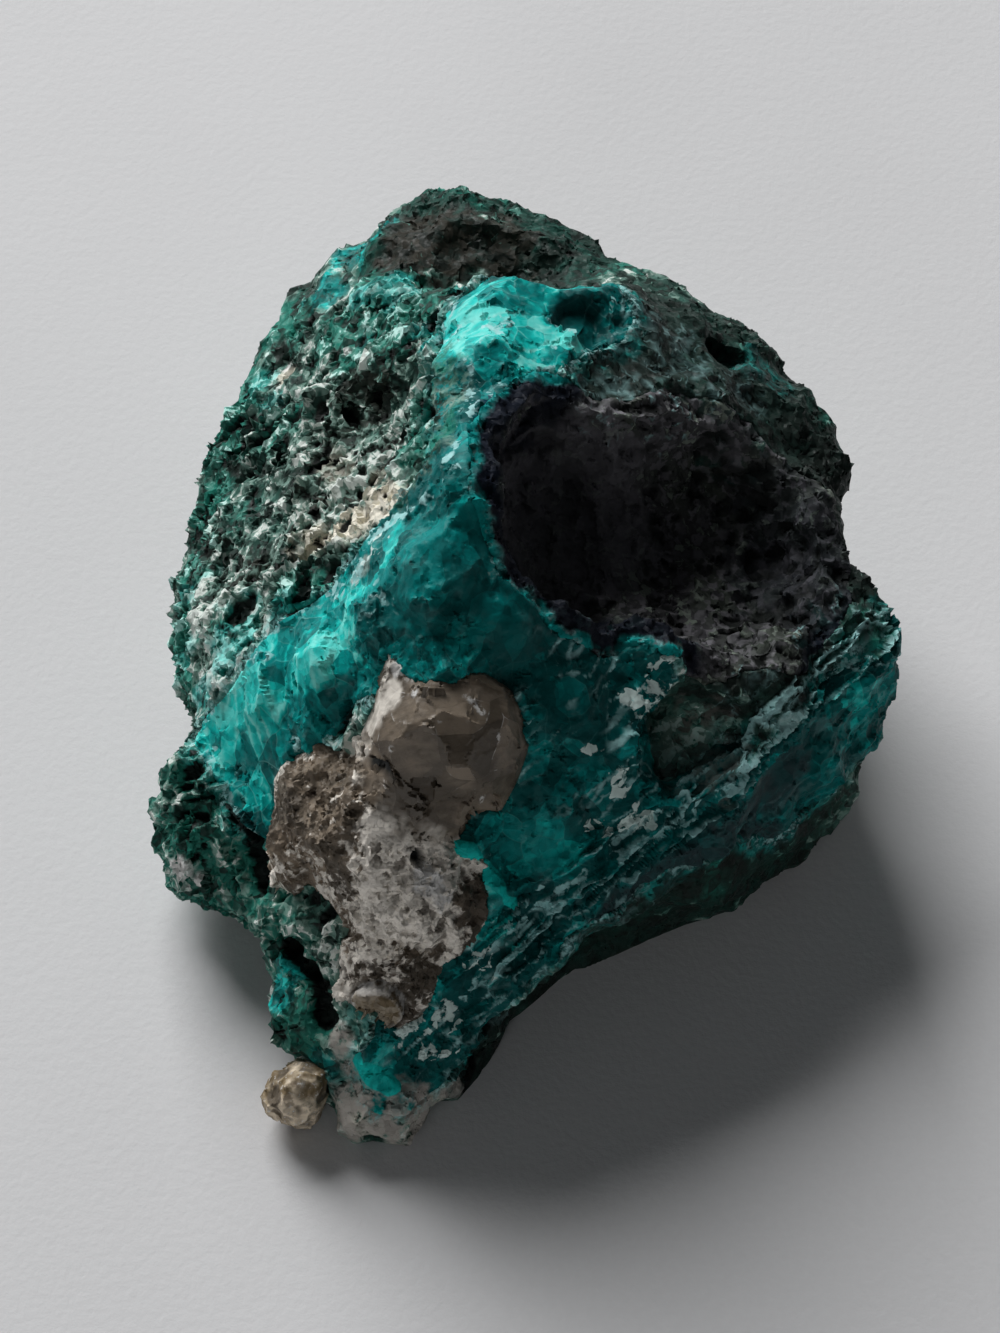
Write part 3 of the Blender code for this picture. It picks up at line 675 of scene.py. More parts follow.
def grain_group():
    """Fine mineral grain: two sizes of cloudiness to mix colours by, and the height of small crystal
    faces for the bump."""
    name = "Mineral Grain"
    if name in bpy.data.node_groups:
        return bpy.data.node_groups[name]
    group, entry, end = new_group(
        name,
        [("Scale", "NodeSocketFloat", 2000.0), ("Drawn Out", "NodeSocketVector", (1.0, 1.0, 1.0))],
        ["Fine", "Broad", "Faces"],
    )
    place = put(group, "ShaderNodeTexCoord").outputs["Object"]
    place = put(group, "ShaderNodeVectorMath", {0: place, 1: entry.outputs["Drawn Out"]},
                operation="MULTIPLY").outputs[0]
    scale = entry.outputs["Scale"]
    fine = put(group, "ShaderNodeTexNoise", {"Vector": place, "Scale": scale, "Detail": 3.0,
                                             "Roughness": 0.65}).outputs["Fac"]
    broad = put(group, "ShaderNodeTexNoise", {"Vector": place, "Scale": times(group, scale, 0.2),
                                              "Detail": 4.0, "Roughness": 0.6}).outputs["Fac"]
    crystals = put(group, "ShaderNodeTexVoronoi", {"Vector": place, "Scale": scale})
    way = put(group, "ShaderNodeVectorMath", {0: place, 1: crystals.outputs["Position"]},
              operation="SUBTRACT").outputs[0]
    tilt = put(group, "ShaderNodeVectorMath", {0: crystals.outputs["Color"], 1: (0.5, 0.5, 0.5)},
               operation="SUBTRACT").outputs[0]
    slope = put(group, "ShaderNodeVectorMath", {0: way, 1: tilt},
                operation="DOT_PRODUCT").outputs["Value"]
    faces = worked(group, "MULTIPLY_ADD", slope, scale)
    step = put(group, "ShaderNodeSeparateColor", {0: crystals.outputs["Color"]}).outputs[0]
    group.links.new(times(group, step, 0.35), faces.node.inputs[2])
    for socket, value in (("Fine", fine), ("Broad", broad), ("Faces", faces)):
        group.links.new(value, end.inputs[socket])
    return group


def veinlet_group():
    """Thin, wandering threads of pale mineral."""
    name = "Veinlets"
    if name in bpy.data.node_groups:
        return bpy.data.node_groups[name]
    group, entry, end = new_group(
        name,
        [("Scale", "NodeSocketFloat", 400.0), ("Width", "NodeSocketFloat", 0.03),
         ("Drawn Out", "NodeSocketVector", (1.0, 1.0, 1.0))],
        ["Threads"],
    )
    place = put(group, "ShaderNodeTexCoord").outputs["Object"]
    place = put(group, "ShaderNodeVectorMath", {0: place, 1: entry.outputs["Drawn Out"]},
                operation="MULTIPLY").outputs[0]
    wander = put(group, "ShaderNodeTexNoise", {"Vector": place, "Scale": entry.outputs["Scale"],
                                               "Detail": 3.0, "Roughness": 0.55,
                                               "Distortion": 0.6}).outputs["Fac"]
    from_middle = worked(group, "ABSOLUTE", worked(group, "SUBTRACT", wander, 0.5))
    thread = rest_of(group, worked(group, "DIVIDE", from_middle, entry.outputs["Width"]))
    finer = times(group, entry.outputs["Scale"], 2.3)
    breaks = put(group, "ShaderNodeTexNoise", {"Vector": place, "Scale": finer,
                                               "Detail": 2.0}).outputs["Fac"]
    thread = times(group, limited(group, thread), between(group, breaks, 0.45, 0.6))
    group.links.new(thread, end.inputs["Threads"])
    return group


def plate_group():
    """Crystal plates: a number for each plate, the thin edges where plates meet, and their height."""
    name = "Crystal Plates"
    if name in bpy.data.node_groups:
        return bpy.data.node_groups[name]
    group, entry, end = new_group(
        name,
        [("Scale", "NodeSocketFloat", 1000.0), ("Edge Width", "NodeSocketFloat", 0.05),
         ("Warp", "NodeSocketFloat", 0.6), ("Drawn Out", "NodeSocketVector", (1.0, 1.0, 1.0))],
        ["Plate", "Edge", "Height"],
    )
    place = put(group, "ShaderNodeTexCoord").outputs["Object"]
    place = put(group, "ShaderNodeVectorMath", {0: place, 1: entry.outputs["Drawn Out"]},
                operation="MULTIPLY").outputs[0]
    place = put(group, "ShaderNodeVectorMath", {0: place, "Scale": entry.outputs["Scale"]},
                operation="SCALE").outputs[0]
    wander = put(group, "ShaderNodeTexNoise", {"Vector": place, "Scale": 0.7,
                                               "Detail": 2.0}).outputs["Color"]
    wander = put(group, "ShaderNodeVectorMath", {0: wander, 1: (0.5, 0.5, 0.5)},
                 operation="SUBTRACT").outputs[0]
    wander = put(group, "ShaderNodeVectorMath", {0: wander, "Scale": entry.outputs["Warp"]},
                 operation="SCALE").outputs[0]
    place = put(group, "ShaderNodeVectorMath", {0: place, 1: wander}, operation="ADD").outputs[0]
    cells = put(group, "ShaderNodeTexVoronoi", {"Vector": place, "Scale": 1.0})
    rims = put(group, "ShaderNodeTexVoronoi", {"Vector": place, "Scale": 1.0}, feature="DISTANCE_TO_EDGE")
    plate = put(group, "ShaderNodeSeparateColor", {0: cells.outputs["Color"]}).outputs[0]
    edge = rest_of(group, worked(group, "DIVIDE", rims.outputs["Distance"], entry.outputs["Edge Width"]))
    breaks = put(group, "ShaderNodeTexNoise", {"Vector": place, "Scale": 0.9,
                                               "Detail": 2.0}).outputs["Fac"]
    edge = times(group, limited(group, edge), between(group, breaks, 0.42, 0.58))
    way = put(group, "ShaderNodeVectorMath", {0: place, 1: cells.outputs["Position"]},
              operation="SUBTRACT").outputs[0]
    tilt = put(group, "ShaderNodeVectorMath", {0: cells.outputs["Color"], 1: (0.5, 0.5, 0.5)},
               operation="SUBTRACT").outputs[0]
    slope = put(group, "ShaderNodeVectorMath", {0: way, 1: tilt},
                operation="DOT_PRODUCT").outputs["Value"]
    height = plus(group, slope, times(group, plate, 0.3))
    for socket, value in (("Plate", plate), ("Edge", edge), ("Height", height)):
        group.links.new(value, end.inputs[socket])
    return group


def swing(tree, value, strength):
    """How far a 0 to 1 value is from its middle, times a strength."""
    return times(tree, worked(tree, "SUBTRACT", value, 0.5), strength)


def use(tree, group, **inputs):
    """Places a node group with its own values and gives its outputs."""
    node = put(tree, "ShaderNodeGroup", node_tree=group)
    for name, value in inputs.items():
        node.inputs[name.replace("_", " ").title()].default_value = value
    return node.outputs


def new_material(name, gloss):
    material = bpy.data.materials.new(name)
    material.use_nodes = True
    shader = material.node_tree.nodes["Principled BSDF"]
    shader.inputs["Specular IOR Level"].default_value = gloss
    return material, material.node_tree, shader


def masks(tree, names):
    """The masks that are kept with the mesh, by name."""
    return [put(tree, "ShaderNodeAttribute", attribute_name=name).outputs["Fac"] for name in names.split()]


def bump(tree, shader, height, distance, strength=1.0):
    node = put(tree, "ShaderNodeBump", {"Strength": strength, "Distance": distance, "Height": height})
    tree.links.new(node.outputs["Normal"], shader.inputs["Normal"])


def finish_surface(tree, shader, colour, roughness):
    tree.links.new(colour, shader.inputs["Base Color"])
    tree.links.new(roughness, shader.inputs["Roughness"])


def rock_material(colours):
    material, tree, shader = new_material("ore rock", 0.14)
    grain = use(tree, grain_group(), scale=2600.0)
    coarse = use(tree, grain_group(), scale=1100.0)
    threads = use(tree, veinlet_group(), scale=420.0, width=0.035)["Threads"]
    plates = use(tree, plate_group(), scale=1050.0, edge_width=0.09, warp=1.0)
    lift, green, brown, dark, stain, cream, fleck, rib = masks(
        tree, "lift green brown dark stain cream fleck rib")
    net, lobe, crystal, powder, streak, tone, dirt = masks(
        tree, "net lobe crystal powder streak tone dirt")

    # The ground: grey and dark rock with green, nearly black and brown parts.
    colour = blend(tree, between(tree, coarse["Broad"], 0.42, 0.60), colours.rock_dark, colours.rock_grey)
    greenish = times(tree, plus(tree, green, 0.38), between(tree, coarse["Broad"], 0.34, 0.54))
    greenish = times(tree, greenish, rest_of(tree, times(tree, brown, 0.8)))
    colour = blend(tree, limited(tree, greenish), colour, colours.rock_green)
    colour = blend(tree, between(tree, lobe, 0.2, 0.8, 0.0, 0.75), colour, colours.rock_green)
    colour = blend(tree, times(tree, dark, 0.93), colour, colours.rock_deep)
    brownish = times(tree, brown, between(tree, coarse["Fine"], 0.28, 0.55))
    colour = blend(tree, brownish, colour, colours.rock_brown)
    pieces = plus(tree, tone, swing(tree, plates["Plate"], 0.9))
    colour = blend(tree, between(tree, pieces, -0.1, 0.55, 0.85, 0.0), colour, colours.rock_deep)

    # Ridges lighter: pale mineral and dust on them, and painted highlight on the raised places.
    edge = plus(tree, lift, swing(tree, grain["Fine"], 0.6), swing(tree, tone, 0.9),
                swing(tree, plates["Plate"], 0.6), times(tree, plates["Edge"], 0.25),
                swing(tree, coarse["Broad"], 1.0), times(tree, fleck, 0.16))
    calmer = worked(tree, "MAXIMUM", times(tree, lobe, 0.22), times(tree, dark, 0.68))
    edge = worked(tree, "SUBTRACT", edge, calmer)
    light_edge = blend(tree, times(tree, green, 0.8), colours.rock_light, colours.rock_bright)
    colour = blend(tree, between(tree, edge, 0.62, 1.00, 0.0, 0.80), colour, light_edge)
    pale_edge = blend(tree, times(tree, green, 0.6), colours.rock_pale, colours.mint)
    colour = blend(tree, between(tree, edge, 1.08, 1.26, 0.0, 0.95), colour, pale_edge)

    # Other minerals laid over it, and painted shade in the bottoms of the pits and in the crevices.
    stained = times(tree, stain, between(tree, coarse["Fine"], 0.34, 0.52),
                    between(tree, pieces, 0.0, 0.5, 0.4, 1.0))
    stain_colour = blend(tree, between(tree, pieces, 0.4, 1.2), colours.teal, colours.turquoise)
    colour = blend(tree, stained, colour, stain_colour)
    creamy = times(tree, cream, between(tree, coarse["Fine"], 0.3, 0.45))
    colour = blend(tree, creamy, colour, colours.cream)
    colour = blend(tree, times(tree, dirt, between(tree, coarse["Fine"], 0.34, 0.52)), colour,
                   colours.toe_grey)
    powdery = times(tree, powder, between(tree, grain["Fine"], 0.45, 0.6))
    colour = blend(tree, powdery, colour, colours.powder)
    netted = times(tree, net, worked(tree, "MAXIMUM", threads, streak))
    colour = blend(tree, times(tree, netted, 0.32), colour, colours.powder)
    colour = blend(tree, between(tree, rib, 0.35, 0.85, 0.0, 0.7), colour, colours.powder)
    # Single white crystals: partly their own white, partly painted glints.
    colour = blend(tree, times(tree, crystal, between(tree, pieces, 0.3, 0.7)), colour,
                   colours.quartz_white)
    colour = blend(tree, between(tree, lift, 0.12, 0.38, 0.97, 0.0), colour, colours.pit_shade)
    finish_surface(tree, shader, colour, between(tree, grain["Fine"], 0.35, 0.65, 0.75, 0.42))
    height = plus(tree, times(tree, grain["Faces"], 0.6), plates["Height"])
    bump(tree, shader, height, 0.00030)
    return material


def vein_material(colours):
    material, tree, shader = new_material("dioptase", 0.08)
    grain = use(tree, grain_group(), scale=2200.0)
    coarse = use(tree, grain_group(), scale=800.0)
    plates = use(tree, plate_group(), scale=560.0, edge_width=0.035, warp=0.7)
    chips = use(tree, plate_group(), scale=1600.0, edge_width=0.08, warp=0.9)
    lift, bright, vivid, powder, indigo, dirt, net, fibre, streak = masks(
        tree, "lift bright vivid powder indigo dirt net fibre streak")
    tone, shaded, slate, crumb, rib, bar, smooth, overgrown = masks(
        tree, "tone shaded slate crumb rib bar smooth overgrown")

    # Blue-green from dark teal to pale, by how bright each part and crystal is; the bright parts carry
    # painted light as well as the vein's paler colour.
    rough = rest_of(tree, times(tree, smooth, 0.8))
    calm = rest_of(tree, times(tree, smooth, 0.55))
    brightness = plus(
        tree,
        times(tree, swing(tree, coarse["Broad"], 2.0), calm),
        times(tree, swing(tree, plates["Plate"], 1.1), calm),
        times(tree, swing(tree, fibre, 0.7), bright),
        bright,
        times(tree, swing(tree, chips["Plate"], 0.45), rough),
        times(tree, swing(tree, tone, 0.6), rough),
        times(tree, vivid, 0.6),
    )
    colour = blend(tree, between(tree, brightness, -0.3, 0.6), colours.deep_teal, colours.teal)
    colour = blend(tree, between(tree, brightness, 0.5, 1.25), colour, colours.turquoise)
    minty = times(tree, between(tree, brightness, 1.0, 1.5), between(tree, fibre, 0.1, 0.7, 0.4, 1.0))
    colour = blend(tree, times(tree, minty, 0.7), colour, colours.mint)
    # Painted shade in the vein's dips, nooks and crest scoop, and darker granular vein in some nooks.
    colour = blend(tree, times(tree, between(tree, lift, 0.0, 0.35, 0.75, 0.0), calm), colour,
                   colours.vein_dark_and_shade)
    colour = blend(tree, times(tree, shaded, between(tree, coarse["Fine"], 0.25, 0.5, 0.85, 0.6)), colour,
                   colours.vein_dark_and_shade)
    colour = blend(tree, times(tree, slate, between(tree, coarse["Fine"], 0.3, 0.6, 1.0, 0.75)), colour,
                   colours.slate)

    # Rock, dirt and blue stain over the vein.
    rocky = blend(tree, between(tree, coarse["Fine"], 0.42, 0.62), colours.rock_dark, colours.rock_light)
    rocky = blend(tree, between(tree, coarse["Broad"], 0.45, 0.6), rocky, colours.rock_green)
    colour = blend(tree, times(tree, overgrown, between(tree, grain["Fine"], 0.36, 0.5)), colour, rocky)
    dirty = times(tree, dirt, between(tree, coarse["Fine"], 0.35, 0.55))
    colour = blend(tree, dirty, colour, colours.toe_grey)
    blue = times(tree, indigo, between(tree, chips["Plate"], 0.2, 0.8))
    colour = blend(tree, blue, colour, colours.indigo)

    # Pale mineral in the seams, in streaks, on the ribs, as frost and as crumbs.
    seams = times(tree, plates["Edge"], plus(tree, times(tree, bright, 0.24), 0.06), rough)
    colour = blend(tree, limited(tree, seams), colour, colours.mint)
    netted = times(tree, plus(tree, net, 0.15), streak, between(tree, grain["Broad"], 0.34, 0.5), rough)
    colour = blend(tree, times(tree, netted, 0.85), colour, colours.powder)
    crumbly = plus(tree, swing(tree, chips["Plate"], 0.7), swing(tree, grain["Fine"], 0.9))
    crumbly = times(tree, crumbly, rough)
    ribbed = times(tree, rib, between(tree, grain["Broad"], 0.36, 0.54, 0.3, 1.0))
    ribbed = plus(tree, ribbed, times(tree, crumbly, 0.3))
    colour = blend(tree, between(tree, ribbed, 0.35, 0.95, 0.0, 0.85), colour, colours.powder)
    frost = times(tree, powder, between(tree, grain["Broad"], 0.38, 0.56))
    frost = times(tree, between(tree, plus(tree, frost, crumbly), 0.46, 0.9), calm)
    colour = blend(tree, times(tree, frost, 0.85), colour, colours.powder)
    crumbs = between(tree, plus(tree, times(tree, crumb, 0.9), crumbly), 0.66, 0.86)
    colour = blend(tree, crumbs, colour, colours.crumb)
    glassy = blend(tree, between(tree, fibre, -0.4, 0.6), colours.teal, colours.turquoise)
    colour = blend(tree, between(tree, bar, 0.4, 0.6), colour, glassy)
    roughness = between(tree, plus(tree, frost, grain["Fine"]), 0.4, 1.3, 0.42, 0.8)
    finish_surface(tree, shader, colour, roughness)
    height = plus(tree, plates["Height"], times(tree, chips["Height"], 0.45),
                  times(tree, grain["Faces"], 0.25))
    bump(tree, shader, height, 0.00028)
    return material


def quartz_material(colours):
    material, tree, shader = new_material("brown quartz", 0.35)
    grain = use(tree, grain_group(), scale=3000.0)
    coarse = use(tree, grain_group(), scale=1000.0)
    plates = use(tree, plate_group(), scale=1900.0, edge_width=0.10, warp=1.0)
    flaws = use(tree, plate_group(), scale=330.0, edge_width=0.014, warp=0.5)
    streaky = use(tree, grain_group(), scale=1500.0, drawn_out=(0.35, 1.6, 0.8))
    lift, sugar, white, hole, amber, pale, brown, crack, tone = masks(
        tree, "lift sugar white hole amber pale brown crack tone")

    # Brown quartz with pale sugary parts.
    ground = between(tree, coarse["Broad"], 0.38, 0.62)
    colour = blend(tree, ground, colours.quartz_dark, colours.quartz_brown)
    sugary = plus(
        tree,
        rest_of(tree, times(tree, brown, 1.05)),
        swing(tree, coarse["Broad"], 4.2),
        swing(tree, streaky["Fine"], 2.2),
        swing(tree, plates["Plate"], 0.7),
        swing(tree, tone, 0.6),
        times(tree, pale, sugar, 0.75),
    )
    sugary = times(tree, between(tree, sugary, 0.35, 1.05), between(tree, sugar, 0.3, 0.9, 0.05, 1.0))
    colour = blend(tree, sugary, colour, colours.quartz_pale)

    # The clear boss: smoky clouds, white flaws and a paler side. Then the amber knob.
    not_sugar = rest_of(tree, sugar)
    smoky = plus(tree, flaws["Plate"], swing(tree, streaky["Fine"], 1.6), swing(tree, coarse["Broad"], 1.6))
    clear = times(tree, not_sugar, between(tree, smoky, 0.0, 1.0, 0.85, 0.15))
    colour = blend(tree, clear, colour, colours.quartz_dark)
    flawed = times(tree, not_sugar, flaws["Edge"], between(tree, coarse["Fine"], 0.5, 0.62))
    colour = blend(tree, times(tree, flawed, 0.6), colour, colours.quartz_white)
    colour = blend(tree, times(tree, amber, 0.8), colour, colours.amber)
    paler = times(tree, pale, not_sugar, between(tree, coarse["Fine"], 0.3, 0.6, 0.5, 0.9))
    colour = blend(tree, paler, colour, colours.quartz_pale)

    # Painted shade in the dips, white cracks that are partly painted glints, white places, and holes
    # painted black as shade.
    colour = blend(tree, between(tree, lift, 0.0, 0.35, 0.8, 0.0), colour, colours.quartz_dark)
    glinting_cracks = times(tree, crack, between(tree, grain["Fine"], 0.4, 0.55))
    colour = blend(tree, glinting_cracks, colour, colours.quartz_white)
    whitish = times(tree, white, between(tree, coarse["Fine"], 0.36, 0.5))
    colour = blend(tree, whitish, colour, colours.quartz_white)
    colour = blend(tree, hole, colour, colours.pit_shade)
    finish_surface(tree, shader, colour, between(tree, sugar, 0.0, 1.0, 0.42, 0.60))
    height = plus(tree, times(tree, grain["Faces"], 0.5), plates["Height"])
    height = times(tree, height, between(tree, sugar, 0.1, 0.8, 0.1, 1.0))
    height = plus(tree, height, times(tree, flaws["Height"], 0.9))
    bump(tree, shader, height, 0.00045)
    return material


def crust_material(colours):
    material, tree, shader = new_material("crust of dark crystals", 0.08)
    grain = use(tree, grain_group(), scale=2200.0)
    coarse = use(tree, grain_group(), scale=900.0)
    threads = use(tree, veinlet_group(), scale=420.0, width=0.035)["Threads"]
    plates = use(tree, plate_group(), scale=2000.0, edge_width=0.10, warp=1.0)
    lift, deep, net, powder, indigo, green, stain, tone, lip, slope = masks(
        tree, "lift deep net powder indigo green stain tone lip slope")

    # Black and brown crystals with a green tint, some greyer faces, and paler tips: partly pale crystal,
    # partly painted highlight on the raised places.
    ground = between(tree, coarse["Broad"], 0.4, 0.6)
    colour = blend(tree, ground, colours.crust_black, colours.crust_brown)
    greenish = times(tree, green, between(tree, coarse["Broad"], 0.35, 0.6))
    colour = blend(tree, greenish, colour, colours.crust_green)
    colour = blend(tree, between(tree, tone, 0.0, 0.6, 0.7, 0.0), colour, colours.crust_grey_and_fill)
    edge = plus(tree, lift, swing(tree, grain["Fine"], 0.6), swing(tree, tone, 0.8),
                swing(tree, plates["Plate"], 0.9))
    colour = blend(tree, between(tree, edge, 0.95, 1.35, 0.0, 0.8), colour, colours.crust_pale)
    # Painted shade on the hollow's right slope, in the lip's blue-black.
    colour = blend(tree, times(tree, slope, 0.62), colour, colours.lip)

    # Powder, veinlets and stain from the vein, painted shade in the dips, painted fill light in the
    # hollow's darkest part, and the lip.
    powdery = times(tree, powder, between(tree, grain["Fine"], 0.42, 0.58))
    colour = blend(tree, powdery, colour, colours.powder)
    netted = times(tree, net, times(tree, threads, between(tree, lift, 0.3, 0.6)))
    colour = blend(tree, times(tree, netted, 0.6), colour, colours.powder)
    colour = blend(tree, indigo, colour, colours.indigo)
    colour = blend(tree, between(tree, lift, 0.05, 0.40, 0.8, 0.0), colour, colours.pit_shade)
    fill_share = times(tree, deep, 0.6, rest_of(tree, stain))
    colour = blend(tree, fill_share, colour, colours.crust_grey_and_fill)
    colour = blend(tree, times(tree, lip, 0.95), colour, colours.lip)
    stained = times(tree, stain, between(tree, coarse["Fine"], 0.3, 0.5))
    colour = blend(tree, stained, colour, colours.teal)
    finish_surface(tree, shader, colour, between(tree, grain["Fine"], 0.3, 0.7, 0.8, 0.45))
    bump(tree, shader, grain["Faces"], 0.00030)
    return material


def pebble_material(colours):
    material, tree, shader = new_material("weathered pebble", 0.3)
    grain = use(tree, grain_group(), scale=2600.0)
    coarse = use(tree, grain_group(), scale=1300.0)
    lift, tone = masks(tree, "lift tone")
    colour = blend(tree, between(tree, coarse["Broad"], 0.45, 0.60), colours.amber, colours.pebble)
    colour = blend(tree, between(tree, tone, 0.0, 0.4, 0.6, 0.0), colour, colours.quartz_brown)
    colour = blend(tree, between(tree, coarse["Fine"], 0.55, 0.72), colour, colours.amber)
    colour = blend(tree, between(tree, grain["Fine"], 0.56, 0.75), colour, colours.quartz_white)
    # Painted shade in the pebble's dips.
    colour = blend(tree, between(tree, lift, 0.05, 0.45, 0.85, 0.0), colour, colours.quartz_dark)
    finish_surface(tree, shader, colour, between(tree, grain["Fine"], 0.3, 0.7, 0.9, 0.6))
    bump(tree, shader, grain["Faces"], 0.00025)
    return material


def sheet_material(colours):
    material, tree, shader = new_material("pale sheet", 0.2)
    grain = use(tree, grain_group(), scale=1500.0)
    tooth = use(tree, grain_group(), scale=60.0)
    fibres = between(tree, grain["Fine"], 0.2, 0.8, 0.5, 1.0)
    shade = times(tree, between(tree, tooth["Broad"], 0.3, 0.7), fibres)
    colour = blend(tree, shade, colours.sheet, [0.93 * channel for channel in colours.sheet])
    finish_surface(tree, shader, colour, between(tree, grain["Fine"], 0.2, 0.8, 0.9, 0.75))
    bump(tree, shader, grain["Fine"], 0.00010, 0.35)
    return material


# ---------------------------------------------------------------- settings

COLOUR = {"size": 3, "min": 0.0, "max": 1.0, "subtype": "COLOR"}
LENGTH = {"subtype": "DISTANCE", "unit": "LENGTH"}


class SpecimenColours(bpy.types.PropertyGroup):
    """Colours of the minerals and of the sheet they lie on."""

    rock_dark: FloatVectorProperty(
        name="Rock Dark", description="Dark green ground of the rock", default=(0.020, 0.046, 0.036),
        **COLOUR)
    rock_deep: FloatVectorProperty(
        name="Rock Deep", description="Near-black parts of the rock", default=(0.014, 0.021, 0.018),
        **COLOUR)
    rock_grey: FloatVectorProperty(
        name="Rock Grey", description="Grey ground of the rock", default=(0.090, 0.130, 0.112), **COLOUR)
    rock_brown: FloatVectorProperty(
        name="Rock Brown", description="Brown parts of the rock", default=(0.037, 0.035, 0.027), **COLOUR)
    rock_green: FloatVectorProperty(
        name="Rock Green", description="Green parts of the rock", default=(0.016, 0.215, 0.160), **COLOUR)
    # The ridge colours below are partly pale mineral, partly painted highlight on the raised places.
    rock_light: FloatVectorProperty(
        name="Rock Light", description="Lighter ridges of the rock", default=(0.23, 0.37, 0.315),
        **COLOUR)
    rock_bright: FloatVectorProperty(
        name="Rock Bright Green", description="Lighter ridges of the green rock",
        default=(0.050, 0.310, 0.245), **COLOUR)
    rock_pale: FloatVectorProperty(
        name="Rock Pale", description="Pale crests and specks of the rock", default=(0.74, 0.80, 0.75),
        **COLOUR)
    cream: FloatVectorProperty(
        name="Cream", description="Cream-coloured crust", default=(0.84, 0.80, 0.68), **COLOUR)
    # Painted shade: the black of pit bottoms, crevices, rib grooves, quartz holes and crust dips.
    pit_shade: FloatVectorProperty(
        name="Pit", description="Bottoms of the rock's pits", default=(0.008, 0.01, 0.009), **COLOUR)
    turquoise: FloatVectorProperty(
        name="Turquoise", description="Bright blue-green of the vein", default=(0.008, 0.640, 0.580),
        **COLOUR)
    # Painted shade in the vein's dips, nooks and crest scoop, and darker granular vein.
    vein_dark_and_shade: FloatVectorProperty(
        name="Vein Dark", description="Bottoms and shaded scoops of the vein",
        default=(0.003, 0.050, 0.052), **COLOUR)
    slate: FloatVectorProperty(
        name="Slate", description="Grey faces below the ribs", default=(0.030, 0.050, 0.056), **COLOUR)
    crumb: FloatVectorProperty(
        name="Crumb", description="White crumbs on the vein", default=(0.72, 0.88, 0.84), **COLOUR)
    teal: FloatVectorProperty(
        name="Teal", description="Ground colour of the vein", default=(0.001, 0.250, 0.240), **COLOUR)
    deep_teal: FloatVectorProperty(
        name="Deep Teal", description="Darkest parts of the vein", default=(0.002, 0.100, 0.098),
        **COLOUR)
    mint: FloatVectorProperty(
        name="Mint", description="Pale green fibres", default=(0.30, 0.86, 0.78), **COLOUR)
    indigo: FloatVectorProperty(
        name="Indigo", description="Blue stain by the hollow", default=(0.004, 0.020, 0.060), **COLOUR)
    powder: FloatVectorProperty(
        name="Powder", description="Powdery white-blue edges", default=(0.42, 0.74, 0.74), **COLOUR)
    toe_grey: FloatVectorProperty(
        name="Toe Grey", description="Grey-green of the toe", default=(0.47, 0.44, 0.40), **COLOUR)
    quartz_dark: FloatVectorProperty(
        name="Quartz Dark", description="Clear brown quartz", default=(0.090, 0.072, 0.052), **COLOUR)
    quartz_brown: FloatVectorProperty(
        name="Quartz Brown", description="Ground colour of the quartz", default=(0.245, 0.190, 0.135),
        **COLOUR)
    quartz_pale: FloatVectorProperty(
        name="Quartz Pale", description="Sugary quartz", default=(0.95, 0.89, 0.80), **COLOUR)
    # Also painted glints on the quartz's cracks and on single white crystals of the rock.
    quartz_white: FloatVectorProperty(
        name="Quartz White", description="White fractures in the quartz", default=(0.88, 0.87, 0.85),
        **COLOUR)
    amber: FloatVectorProperty(
        name="Amber", description="Amber brown of the round boss", default=(0.20, 0.145, 0.075), **COLOUR)
    # Also painted shade on the hollow's right slope.
    lip: FloatVectorProperty(
        name="Lip", description="Blue-black lip of the hollow", default=(0.007, 0.010, 0.018), **COLOUR)
    crust_black: FloatVectorProperty(
        name="Crust Black", description="Ground colour of the hollow", default=(0.060, 0.060, 0.064),
        **COLOUR)
    crust_green: FloatVectorProperty(
        name="Crust Green", description="Green tint of the hollow", default=(0.020, 0.075, 0.062),
        **COLOUR)
    crust_brown: FloatVectorProperty(
        name="Crust Brown", description="Brown tint of the hollow", default=(0.056, 0.066, 0.056),
        **COLOUR)
    # Partly pale crystal tips, partly painted highlight on the raised places.
    crust_pale: FloatVectorProperty(
        name="Crust Pale", description="Tips of the hollow's crystals", default=(0.22, 0.26, 0.22),
        **COLOUR)
    # Grey of some crystal faces, and painted fill light in the hollow's darkest part.
    crust_grey_and_fill: FloatVectorProperty(
        name="Crust Deep", description="The hollow's darkest part", default=(0.20, 0.195, 0.215),
        **COLOUR)
    pebble: FloatVectorProperty(
        name="Pebble", description="Weathered skin of the pebble", default=(0.80, 0.68, 0.52), **COLOUR)
    sheet: FloatVectorProperty(
        name="Sheet", description="The sheet below", default=(0.8, 0.8, 0.81), **COLOUR)


class SpecimenSizes(bpy.types.PropertyGroup):
    """How finely each mineral is worked and how deep its relief is."""

    rock_cell: FloatProperty(
        name="Rock Cell", description="Mesh size of the ore rock", default=0.00017, min=0.0001, **LENGTH)
    vein_cell: FloatProperty(
        name="Vein Cell", description="Mesh size of the vein", default=0.00015, min=0.0001, **LENGTH)
    quartz_cell: FloatProperty(
        name="Quartz Cell", description="Mesh size of the quartz and the pebble", default=0.00014,
        min=0.0001, **LENGTH)
    crust_cell: FloatProperty(
        name="Crust Cell", description="Mesh size of the hollow's crystals", default=0.00015, min=0.0001,
        **LENGTH)
    growth: FloatProperty(
        name="Growth", description="How far each mineral grows to meet the next", default=0.00017,
        min=0.0, **LENGTH)
    most_triangles: IntProperty(
        name="Most Triangles", description="Limit for each mineral's mesh", default=190000, min=1000)
    rock_relief: FloatProperty(
        name="Rock Relief", description="Depth of the rock's pits", default=0.0011, min=0.0, **LENGTH)
    vein_relief: FloatProperty(
        name="Vein Relief", description="Depth of the vein's breaks", default=0.0005, min=0.0, **LENGTH)
    quartz_relief: FloatProperty(
        name="Quartz Relief", description="Depth of the quartz's breaks", default=0.0006, min=0.0,
        **LENGTH)
    crust_relief: FloatProperty(
        name="Crust Relief", description="Height of the hollow's crystals", default=0.0007, min=0.0,
        **LENGTH)


